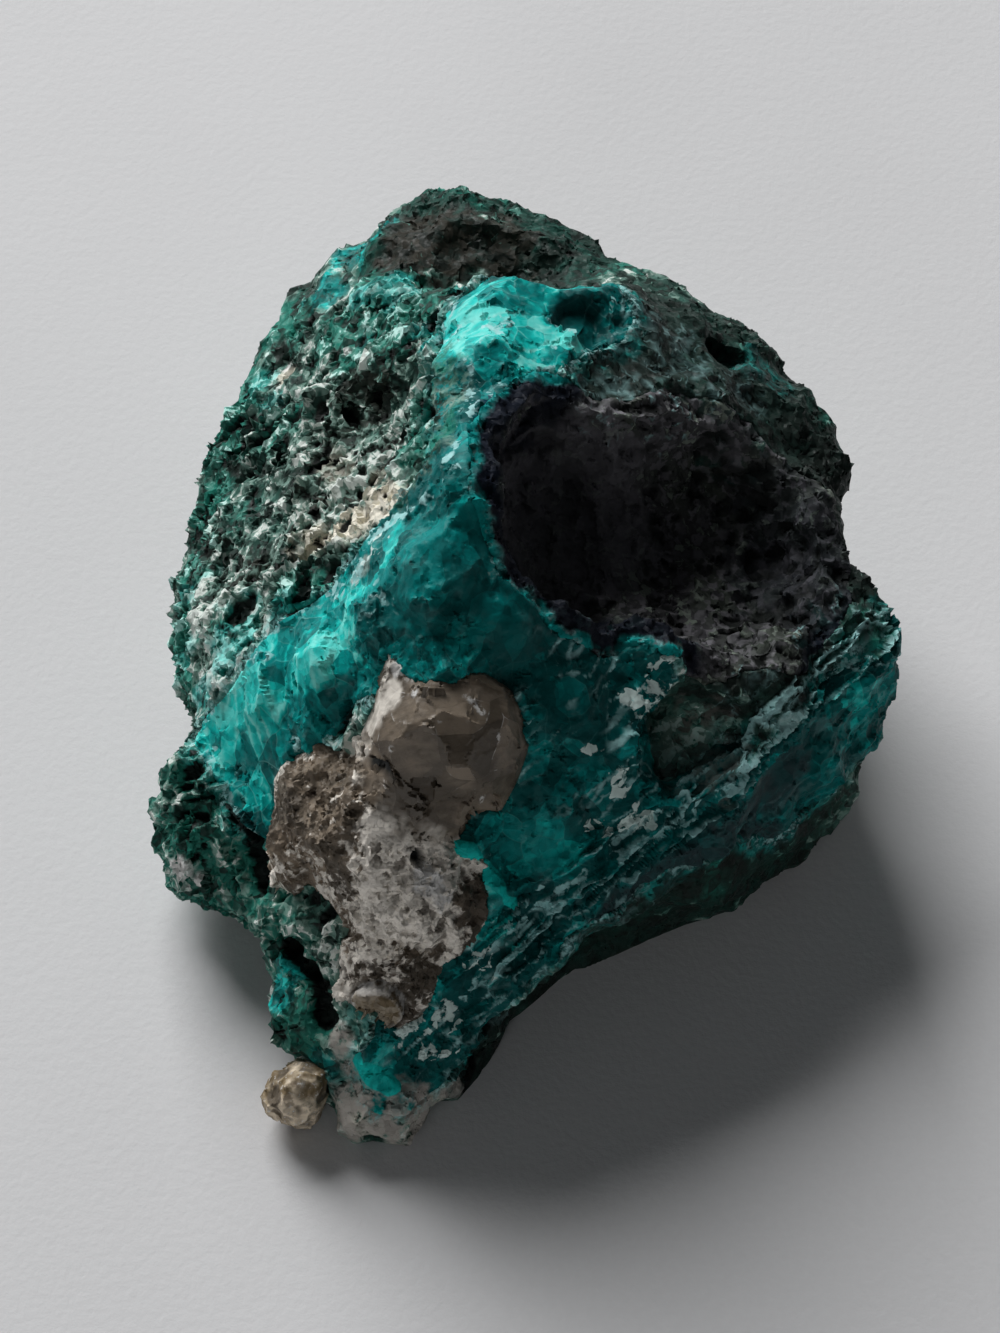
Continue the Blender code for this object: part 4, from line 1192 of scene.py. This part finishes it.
class StageSettings(bpy.types.PropertyGroup):
    """The sheet, the camera and the lights."""

    sheet_reach: FloatProperty(
        name="Sheet Reach", description="From the middle of the sheet to its edges", default=0.6, **LENGTH)
    camera_height: FloatProperty(
        name="Camera Elevation", description="Angle of the camera above the sheet",
        default=math.radians(55), subtype="ANGLE", unit="ROTATION")
    camera_distance: FloatProperty(
        name="Camera Distance", description="From the camera to the specimen", default=0.300, **LENGTH)
    lens: FloatProperty(
        name="Lens", description="Focal length on a 36 mm sensor", default=122.75, unit="CAMERA")
    window_power: FloatProperty(
        name="Window Power", description="Strength of the large soft light", default=42.0, min=0.0,
        unit="POWER")
    window_size: FloatProperty(
        name="Window Size", description="Side of the large soft light", default=1.10, **LENGTH)
    window_direction: FloatVectorProperty(
        name="Window Direction", description="Towards the large soft light", default=(-0.34, 0.76, 0.55),
        size=3, subtype="DIRECTION")
    fill_power: FloatProperty(
        name="Fill Power", description="Strength of the weak light from the front", default=3.5, min=0.0,
        unit="POWER")
    fill_size: FloatProperty(
        name="Fill Size", description="Side of the weak light from the front", default=0.80, **LENGTH)
    fill_direction: FloatVectorProperty(
        name="Fill Direction", description="Towards the weak light from the front",
        default=(-0.35, -0.88, 0.30), size=3, subtype="DIRECTION")
    lights_distance: FloatProperty(
        name="Lights Distance", description="From the lights to the specimen", default=1.80, **LENGTH)
    room_colour: FloatVectorProperty(
        name="Room Colour", description="Colour of the light from all round", default=(0.92, 0.96, 1.0),
        **COLOUR)
    room_light: FloatProperty(
        name="Room Light", description="Strength of the light from all round", default=0.036, min=0.0)


# ---------------------------------------------------------------- operators

def stretched_mask(relief):
    """The relief from its deepest to its highest places as 0 to 1."""
    low, high = np.percentile(relief, OUTER_PERCENTILES)
    return np.clip((relief - low) / (high - low), 0, 1)


def streaks(places):
    """Thin, broken streaks that run with the vein, from 0 to 1."""
    drawn = squeezed(warped(places, by=0.45, size=2.0, seed=81), along=VEIN_RUN, share=0.15)
    lines = soft_step(ridges(drawn, size=0.75, seed=82, octaves=2), 0.46, 0.70)
    return lines * soft_step(clouds(places, size=2.0, seed=83, octaves=3), -0.25, 0.2)


def ribs(places):
    """Long parallel ribs with grooves between them, which the materials darken with painted shade, from 0
    to 1, and how much each place is on the band that has them."""
    band = near_lines(places, RIB_BAND, ragged=0.4, seed=84)
    drawn = squeezed(warped(places, by=0.30, size=2.2, seed=85), along=RIB_RUN, share=0.055)
    return soft_step(ridges(drawn, size=0.72, seed=86, octaves=2), 0.20, 0.78), band


def seam_push(distance):
    """How far a mineral is pushed into its neighbour, in millimetres, so that no gap shows between."""
    return SEAM_OVERLAP * soft_step(-distance, -0.9, -0.45)


class SPECIMEN_OT_host_rock(bpy.types.Operator):
    """Works the ore rock up from its plain solid"""

    bl_idname = "specimen.host_rock"
    bl_label = "Ore Rock"

    def execute(self, context):
        sizes, colours = context.scene.specimen_sizes, context.scene.specimen_colours
        piece = fine_copy("host_rock", "ore_rock", sizes.rock_cell, sizes.growth, rounding=3)
        places, normals = places_and_normals(piece.data)
        distance, hidden = reach_of(places, normals, "host_rock")
        to_vein, _ = reach_of(places, normals, "host_rock", ["dioptase_vein"])

        # Pits and the walls between them, mostly on the left face, with smaller pits all over.
        face = soft_step(-places[:, 0] + 0.15 * places[:, 2], 0.0, 5.0)
        face = face * soft_step(24.5 - places[:, 1], 0.0, 3.0)
        drawn = squeezed(places, along=PIT_RUN, share=0.6)
        drawn = warped(drawn, by=1.0, size=1.6, seed=10)
        near, next_near, _, chosen = grains(drawn, size=1.5, seed=11)
        pits = (scramble(chosen, 12) > 0.42) * soft_step(next_near - near, 0.06, 0.32)
        walls = soft_step(near - next_near, -0.16, -0.03)
        near, next_near, _, chosen = grains(warped(places, by=0.35, size=0.8, seed=13), size=0.85, seed=14)
        small_pits = (scramble(chosen, 15) > 0.45) * soft_step(next_near - near, 0.06, 0.35)
        where_pitted = soft_step(clouds(places, size=4.5, seed=16, octaves=2), -0.45, 0.25)
        where_pitted *= 0.2 + 0.8 * face
        big = ridges(drawn, size=1.9, seed=17, octaves=2)
        crystals = facets(warped(places, by=0.25, size=0.8, seed=18), size=0.62, seed=19)
        dirt = near_patches(places, DIRT_PATCHES, ragged=0.7)
        rough = (-0.70 * pits * where_pitted + 0.22 * walls * where_pitted
                 - 0.30 * small_pits * (0.4 + 0.6 * face) * (1 - dirt)
                 + (0.25 + 0.25 * face) * (big - 0.4) + (0.17 + 0.08 * face) * crystals
                 + 0.25 * clouds(places, size=1.5, seed=20, octaves=3))
        rough = rough * (1 - 0.6 * dirt) * (1 + 0.4 * near_patches(places, ROUGH_RIMS, ragged=0.4))

        # Beads on the round lobes, ribs on their band, and crevices.
        lobe = near_patches(places, ROUND_LOBES, ragged=0.2)
        bead_near, _, _, _ = grains(warped(places, by=0.4, size=1.5, seed=21), size=1.5, seed=22)
        beads = 0.45 * np.sqrt(np.clip(1 - bead_near**2, 0, 1)) - 0.3
        ribbed, band = ribs(places)
        relief = rough * (1 - lobe) + (beads + 0.8 * rough) * lobe
        relief = relief * (1 - 0.6 * band) + 0.7 * (ribbed - 0.5) * band
        crevice = near_lines(places, CREVICES, ragged=0.5)
        seen = np.where(hidden, HIDDEN_SHARE, soft_step(places[:, 2], *FOOT))
        shift = (sizes.rock_relief / MM * (relief + 0.1) - 1.1 * crevice) * seen + seam_push(distance)
        moved, facing = reshaped(piece, places + normals * shift[:, None])
        moved, _ = flat_faces(moved, facing, size=1.3, seed=24, share=0.55 * (1 - lobe) * seen)
        moved, tone = flat_faces(moved, facing, size=0.55, seed=23, share=0.85 * seen)
        move_vertices(piece.data, moved)

        by_vein = soft_step(1.7 - to_vein + 1.3 * clouds(places, size=1.3, seed=22, octaves=3), 0.0, 0.9)
        by_edge = soft_step(0.7 - to_vein + 0.9 * clouds(places, size=0.8, seed=23, octaves=2), 0.0, 0.5)
        stained = near_patches(places, STAIN_PATCHES, ragged=0.8)
        powdery = near_lines(places, POWDER_LINES, ragged=1.2)
        keep_masks(
            piece.data, tone=tone, dirt=dirt, lobe=lobe, rib=ribbed * band,
            lift=stretched_mask(relief - 1.2 * crevice),
            fleck=near_patches(places, FLECKED_PATCHES, ragged=0.3),
            green=near_patches(places, GREEN_PATCHES, ragged=0.7),
            brown=near_patches(places, BROWN_PATCHES, ragged=0.7),
            dark=near_patches(places, DARK_ROCK_PATCHES, ragged=0.5),
            stain=np.maximum(stained, 0.45 * by_vein),
            cream=np.maximum(near_patches(places, CREAM_PATCHES, ragged=0.8),
                             near_lines(places, CREAM_LINES, ragged=0.8)),
            net=near_patches(places, NET_PATCHES, ragged=0.6),
            powder=np.maximum(0.7 * powdery, 0.8 * by_edge),
            crystal=near_patches(places, WHITE_CRYSTAL_GLINTS, ragged=0.7),
            streak=streaks(places),
        )
        thinned(piece, sizes.most_triangles)
        hand_over(piece, "host_rock", rock_material(colours))
        return {"FINISHED"}


class SPECIMEN_OT_vein(bpy.types.Operator):
    """Works the blue-green vein up from its plain solid"""

    bl_idname = "specimen.vein"
    bl_label = "Dioptase Vein"

    def execute(self, context):
        sizes, colours = context.scene.specimen_sizes, context.scene.specimen_colours
        piece = fine_copy("dioptase_vein", "blue_green_vein", sizes.vein_cell, sizes.growth, rounding=4)
        places, normals = places_and_normals(piece.data)
        distance, hidden = reach_of(places, normals, "dioptase_vein")

        # Fibres run down the left arm, and along the vein elsewhere.
        on_arm = soft_step(-places[:, 0], 8.0, 12.0)[:, None]
        drawn = (squeezed(places, along=ARM_RUN, share=0.2) * on_arm
                 + squeezed(places, along=VEIN_RUN, share=0.25) * (1 - on_arm))
        fibre = ridges(warped(drawn, by=0.25, size=1.2, seed=31), size=0.7, seed=32, octaves=3)
        near, _, _, _ = grains(warped(places, by=0.8, size=2.6, seed=33), size=2.4, seed=34)
        bowls = near**2
        crags = ridges(warped(drawn, by=0.6, size=2.0, seed=37), size=1.4, seed=38)
        crystals = facets(warped(places, by=0.3, size=1.0, seed=43), size=0.9, seed=44)
        small = facets(warped(places, by=0.2, size=0.7, seed=45), size=0.5, seed=46)

        # Where the vein is powdery, painted with shade, scooped out, smooth, bright, broken or ribbed.
        powder = np.maximum(near_lines(places, POWDER_LINES, ragged=1.3),
                            near_patches(places, POWDER_PATCHES, ragged=1.1))
        edge = soft_step(0.7 - distance + 0.8 * clouds(places, size=0.8, seed=39, octaves=3), 0.0, 0.45)
        shaded = near_patches(places, SHADED_PATCHES, ragged=0.4)
        scoop = near_patches(places, SCOOP, ragged=0.25)
        smooth = near_patches(places, SMOOTH_PATCHES, ragged=0.5)
        bright = near_patches(places, BRIGHT_PATCHES, ragged=0.35) * (1 - shaded)
        ribbed, band = ribs(places)
        bar = near_lines(places, CRYSTAL_BAR, ragged=0.0)
        broken = 1 - 0.85 * np.clip(np.maximum(bright, shaded), 0, 1)
        broken = broken * (1 - 0.7 * band) * (1 - bar) * (1 - 0.75 * smooth)
        crevice = near_lines(places, CREVICES, ragged=0.5)
        relief = (0.30 * bowls + 1.5 * (ribbed - 0.5) * band + 0.9 * bar
                  + broken * (0.8 * (crags - 0.35) + 0.34 * crystals + 0.22 * small)
                  + (0.10 + 0.28 * on_arm[:, 0]) * (fibre - 0.4)
                  + 0.25 * clouds(places, size=1.6, seed=40, octaves=3) + 0.12 * powder)
        seen = np.where(hidden, HIDDEN_SHARE, soft_step(places[:, 2], *FOOT))
        shift = (sizes.vein_relief / MM * relief - 0.9 * crevice - 0.8 * scoop) * seen
        shift = shift + seam_push(distance)
        moved, facing = reshaped(piece, places + normals * shift[:, None])
        moved, _ = flat_faces(moved, facing, size=2.2, seed=41, share=0.8 * np.clip(bright, 0, 1) * seen)
        moved, tone = flat_faces(moved, facing, size=0.6, seed=42, share=0.75 * broken * seen)
        move_vertices(piece.data, moved)

        keep_masks(
            piece.data, fibre=fibre, bright=bright, bar=bar, smooth=smooth, rib=ribbed * band,
            tone=0.5 + (tone - 0.5) * broken,
            lift=stretched_mask(relief - 1.2 * crevice),
            shaded=np.maximum(shaded, scoop),
            vivid=near_patches(places, VIVID_PATCHES, ragged=0.5),
            overgrown=near_patches(places, OVERGROWN_PATCHES, ragged=0.7),
            slate=near_patches(places, SLATE_PATCHES, ragged=0.4) * (1 - band),
            crumb=near_patches(places, WHITE_CRUMBS, ragged=1.2),
            powder=np.maximum(powder, edge * (0.25 + 0.45 * bright)),
            indigo=near_lines(places, INDIGO_LINES, ragged=0.8),
            dirt=near_patches(places, DIRT_PATCHES, ragged=0.7),
            net=near_patches(places, NET_PATCHES, ragged=0.6),
            streak=streaks(places),
        )
        thinned(piece, sizes.most_triangles)
        hand_over(piece, "dioptase_vein", vein_material(colours))
        return {"FINISHED"}


class SPECIMEN_OT_quartz(bpy.types.Operator):
    """Works the brown quartz up from its plain solid"""

    bl_idname = "specimen.quartz"
    bl_label = "Brown Quartz"

    def execute(self, context):
        sizes, colours = context.scene.specimen_sizes, context.scene.specimen_colours
        piece = fine_copy("quartz_mass", "brown_quartz", sizes.quartz_cell, sizes.growth, rounding=4)
        places, normals = places_and_normals(piece.data)
        distance, hidden = reach_of(places, normals, "quartz_mass")

        # The clear boss at the top breaks in wide faces, the rest is sugary, with a round knob below.
        boss = near_patches(places, CLEAR_BOSS, ragged=0.25)
        sugar = 1 - boss
        crags = ridges(warped(places, by=0.5, size=1.8, seed=53), size=1.7, seed=54, octaves=3)
        chips = facets(warped(places, by=0.3, size=1.0, seed=58), size=0.8, seed=59)
        sugary = facets(places, size=0.4, seed=49)
        from_knob = np.linalg.norm(places - np.array(KNOB_MIDDLE), axis=1)
        knob = soft_step(KNOB_RADIUS - from_knob, 0.0, 0.3)
        groove = soft_step(0.45 - np.abs(from_knob - KNOB_GROOVE), 0.0, 0.4)
        knob_rim = soft_step(0.30 - np.abs(from_knob - KNOB_RIM), 0.0, 0.2)
        relief = (sugar * (0.55 * (crags - 0.35) + 0.36 * chips + 0.20 * sugary) * (1 - knob)
                  + 0.05 * boss * chips
                  + 0.35 * clouds(places, size=2.2, seed=55, octaves=3) * (0.2 + 0.8 * sugar)
                  + 0.9 * knob - 0.5 * groove)
        hole = np.maximum(near_patches(places, QUARTZ_HOLES, ragged=0.2),
                          near_lines(places, QUARTZ_CREVICES, ragged=0.6))
        seen = np.where(hidden, QUARTZ_HIDDEN_SHARE, 1.0)
        shift = sizes.quartz_relief / MM * relief * seen + seam_push(distance) - 0.8 * hole
        moved, facing = reshaped(piece, places + normals * shift[:, None])
        moved, wide_tone = flat_faces(moved, facing, size=3.2, seed=56, share=0.95 * boss * seen, most=1.0)
        moved, tone = flat_faces(moved, facing, size=0.45, seed=57, share=0.8 * sugar * (1 - knob) * seen)
        move_vertices(piece.data, moved)

        lifted = stretched_mask(relief) * sugar + boss
        whitened = near_patches(places, WHITE_QUARTZ, ragged=0.8)
        keep_masks(
            piece.data, sugar=sugar, hole=hole, amber=knob,
            tone=tone * sugar + wide_tone * boss,
            lift=np.where(knob > 0.5, 1.0, lifted) * (1 - 0.8 * groove),
            crack=near_lines(places, QUARTZ_CRACK_GLINTS, ragged=0.5),
            brown=near_patches(places, BROWN_QUARTZ, ragged=0.7),
            white=np.maximum(whitened, 0.55 * knob_rim),
            pale=near_patches(places, PALE_QUARTZ, ragged=0.5),
        )
        thinned(piece, sizes.most_triangles)
        hand_over(piece, "quartz_mass", quartz_material(colours))
        return {"FINISHED"}


class SPECIMEN_OT_crust(bpy.types.Operator):
    """Grows the dark crystals that line the hollow"""

    bl_idname = "specimen.crust"
    bl_label = "Crystal Crust"

    def execute(self, context):
        sizes, colours = context.scene.specimen_sizes, context.scene.specimen_colours
        piece = fine_copy("hollow_crust", "crystal_crust", sizes.crust_cell, sizes.growth, rounding=4)
        places, normals = places_and_normals(piece.data)
        distance, hidden = reach_of(places, normals, "hollow_crust")
        to_vein, _ = reach_of(places, normals, "hollow_crust", ["dioptase_vein"])

        crystals = facets(warped(places, by=0.3, size=1.0, seed=60), size=0.95, seed=61)
        crags = ridges(warped(places, by=0.6, size=2.0, seed=63), size=1.8, seed=64)
        relief = 0.35 * crystals + 0.7 * (crags - 0.4) + 0.4 * clouds(places, size=2.2, seed=65, octaves=3)
        seen = np.where(hidden, HIDDEN_SHARE, 1.0)
        shift = sizes.crust_relief / MM * relief * seen + seam_push(distance)
        moved, facing = reshaped(piece, places + normals * shift[:, None])
        moved, tone = flat_faces(moved, facing, size=0.5, seed=66, share=0.85 * seen)
        move_vertices(piece.data, moved)

        # Powder, stain and the blue-black lip follow the edge where the crust meets the vein.
        rim = soft_step(0.9 - to_vein + 1.1 * clouds(places, size=0.9, seed=67, octaves=3), 0.0, 0.5)
        rim = rim * soft_step(-places[:, 1], 2.0, 6.0)
        by_vein = soft_step(1.0 - to_vein + 0.8 * clouds(places, size=1.0, seed=68, octaves=2), 0.0, 0.5)
        blue = soft_step(2.0 - to_vein + 1.0 * clouds(places, size=1.0, seed=69, octaves=2), 0.0, 0.8)
        blue = blue * soft_step(places[:, 1], -7.0, -3.0)
        lip = soft_step(normals[:, 2], -0.3, 0.3) * soft_step(3.0 - to_vein, 0.0, 1.2)
        powdery = near_lines(places, POWDER_LINES, ragged=1.2)
        keep_masks(
            piece.data, tone=tone, stain=by_vein,
            lift=stretched_mask(relief),
            # Where fill light is painted into the hollow's darkest part, and, below, where shade is painted
            # on its right slope.
            deep=near_patches(places, HOLLOW_DEPTHS, ragged=0.3),
            net=near_patches(places, NET_PATCHES, ragged=0.6),
            powder=np.maximum(0.7 * powdery, 0.8 * rim),
            lip=lip * (1 - by_vein),
            indigo=0.8 * blue * (1 - by_vein),
            green=near_patches(places, GREEN_PATCHES, ragged=0.6),
            slope=near_patches(places, SLOPE_SHADE_PATCHES, ragged=0.4),
        )
        thinned(piece, sizes.most_triangles)
        hand_over(piece, "hollow_crust", crust_material(colours))
        return {"FINISHED"}


class SPECIMEN_OT_pebble(bpy.types.Operator):
    """Works the toe's pebble up from its plain solid"""

    bl_idname = "specimen.pebble"
    bl_label = "Toe Pebble"

    def execute(self, context):
        sizes, colours = context.scene.specimen_sizes, context.scene.specimen_colours
        piece = fine_copy("toe_pebble", "toe_pebble_skin", sizes.quartz_cell, sizes.growth, rounding=6)
        places, normals = places_and_normals(piece.data)
        distance, _ = reach_of(places, normals, "toe_pebble")

        # Made a little smaller towards the toe and the ground, then given lumps and flat breaks.
        crags = ridges(warped(places, by=0.4, size=1.5, seed=72), size=1.3, seed=73)
        relief = 0.5 * (crags - 0.4) + 0.5 * clouds(places, size=1.4, seed=74, octaves=3)
        above_ground = soft_step(places[:, 2], 0.2, 1.0)
        low, high = places.min(axis=0), places.max(axis=0)
        anchor = np.array((high[0], low[1], 0.0))
        shape = anchor + (places - anchor) * np.array(PEBBLE_SHARES)
        lumps = 1.2 * clouds(places, size=3.6, seed=78, octaves=2) * above_ground
        moved, _ = flat_faces(shape + normals * lumps[:, None], normals, size=4.4, seed=75, share=0.5,
                              most=0.9)
        shift = 0.5 * relief * above_ground + seam_push(distance)
        moved, facing = reshaped(piece, moved + normals * shift[:, None])
        moved, tone = flat_faces(moved, facing, size=0.45, seed=76, share=0.6 * above_ground)
        move_vertices(piece.data, moved)
        keep_masks(piece.data, tone=tone, lift=stretched_mask(relief))
        hand_over(piece, "toe_pebble", pebble_material(colours))
        return {"FINISHED"}


class SPECIMEN_OT_stage(bpy.types.Operator):
    """Lays the pale sheet and sets the lights and the camera"""

    bl_idname = "specimen.stage"
    bl_label = "Stage"

    def execute(self, context):
        scene, stage = context.scene, context.scene.specimen_stage
        sheet = bmesh.new()
        bmesh.ops.create_grid(sheet, x_segments=1, y_segments=1, size=stage.sheet_reach)
        mesh = bpy.data.meshes.new("sheet")
        sheet.to_mesh(mesh)
        sheet.free()
        floor = bpy.data.objects.new("sheet", mesh)
        floor.data.materials.append(sheet_material(scene.specimen_colours))
        scene.collection.objects.link(floor)

        target = Vector(VIEW_TARGET) * MM
        away = Vector((0, -math.cos(stage.camera_height), math.sin(stage.camera_height)))
        upward = Vector((0, math.sin(stage.camera_height), math.cos(stage.camera_height)))
        camera = bpy.data.objects.new("camera", bpy.data.cameras.new("camera"))
        camera.data.sensor_width = SENSOR_WIDTH
        camera.data.lens = stage.lens
        camera.data.clip_start = CLIP_START
        camera.location = target + away * stage.camera_distance
        aim = target - upward * AIM_BELOW * MM
        camera.rotation_euler = (aim - camera.location).to_track_quat("-Z", "Y").to_euler()
        scene.collection.objects.link(camera)
        scene.camera = camera

        for name, power, size, direction in (
            ("window", stage.window_power, stage.window_size, stage.window_direction),
            ("fill", stage.fill_power, stage.fill_size, stage.fill_direction),
        ):
            light = bpy.data.objects.new(name, bpy.data.lights.new(name, "AREA"))
            light.data.energy = power
            light.data.size = size
            toward = Vector(direction).normalized()
            light.location = target + toward * stage.lights_distance
            light.rotation_euler = (-toward).to_track_quat("-Z", "Y").to_euler()
            scene.collection.objects.link(light)

        world = bpy.data.worlds.new("room")
        world.use_nodes = True
        background = world.node_tree.nodes["Background"]
        background.inputs["Color"].default_value = (*stage.room_colour, 1)
        background.inputs["Strength"].default_value = stage.room_light
        scene.world = world
        scene.view_settings.view_transform = "Standard"
        return {"FINISHED"}


class SPECIMEN_PT_panel(bpy.types.Panel):
    """Lists the steps in the order they are run"""

    bl_idname = "SPECIMEN_PT_panel"
    bl_label = "Dioptase Specimen"
    bl_space_type = "VIEW_3D"
    bl_region_type = "UI"
    bl_category = "Specimen"

    def draw(self, context):
        for operator in OPERATORS:
            self.layout.operator(operator.bl_idname)


SETTINGS = [SpecimenColours, SpecimenSizes, StageSettings]
OPERATORS = [SPECIMEN_OT_host_rock, SPECIMEN_OT_vein, SPECIMEN_OT_quartz, SPECIMEN_OT_crust,
             SPECIMEN_OT_pebble, SPECIMEN_OT_stage]


def register():
    for made in [*SETTINGS, *OPERATORS, SPECIMEN_PT_panel]:
        bpy.utils.register_class(made)
    bpy.types.Scene.specimen_colours = PointerProperty(type=SpecimenColours)
    bpy.types.Scene.specimen_sizes = PointerProperty(type=SpecimenSizes)
    bpy.types.Scene.specimen_stage = PointerProperty(type=StageSettings)


def unregister():
    del bpy.types.Scene.specimen_colours, bpy.types.Scene.specimen_sizes, bpy.types.Scene.specimen_stage
    for made in reversed([*SETTINGS, *OPERATORS, SPECIMEN_PT_panel]):
        bpy.utils.unregister_class(made)


def main():
    register()
    for operator in OPERATORS:
        group, name = operator.bl_idname.split(".")
        getattr(getattr(bpy.ops, group), name)()


if __name__ == "__main__":
    main()
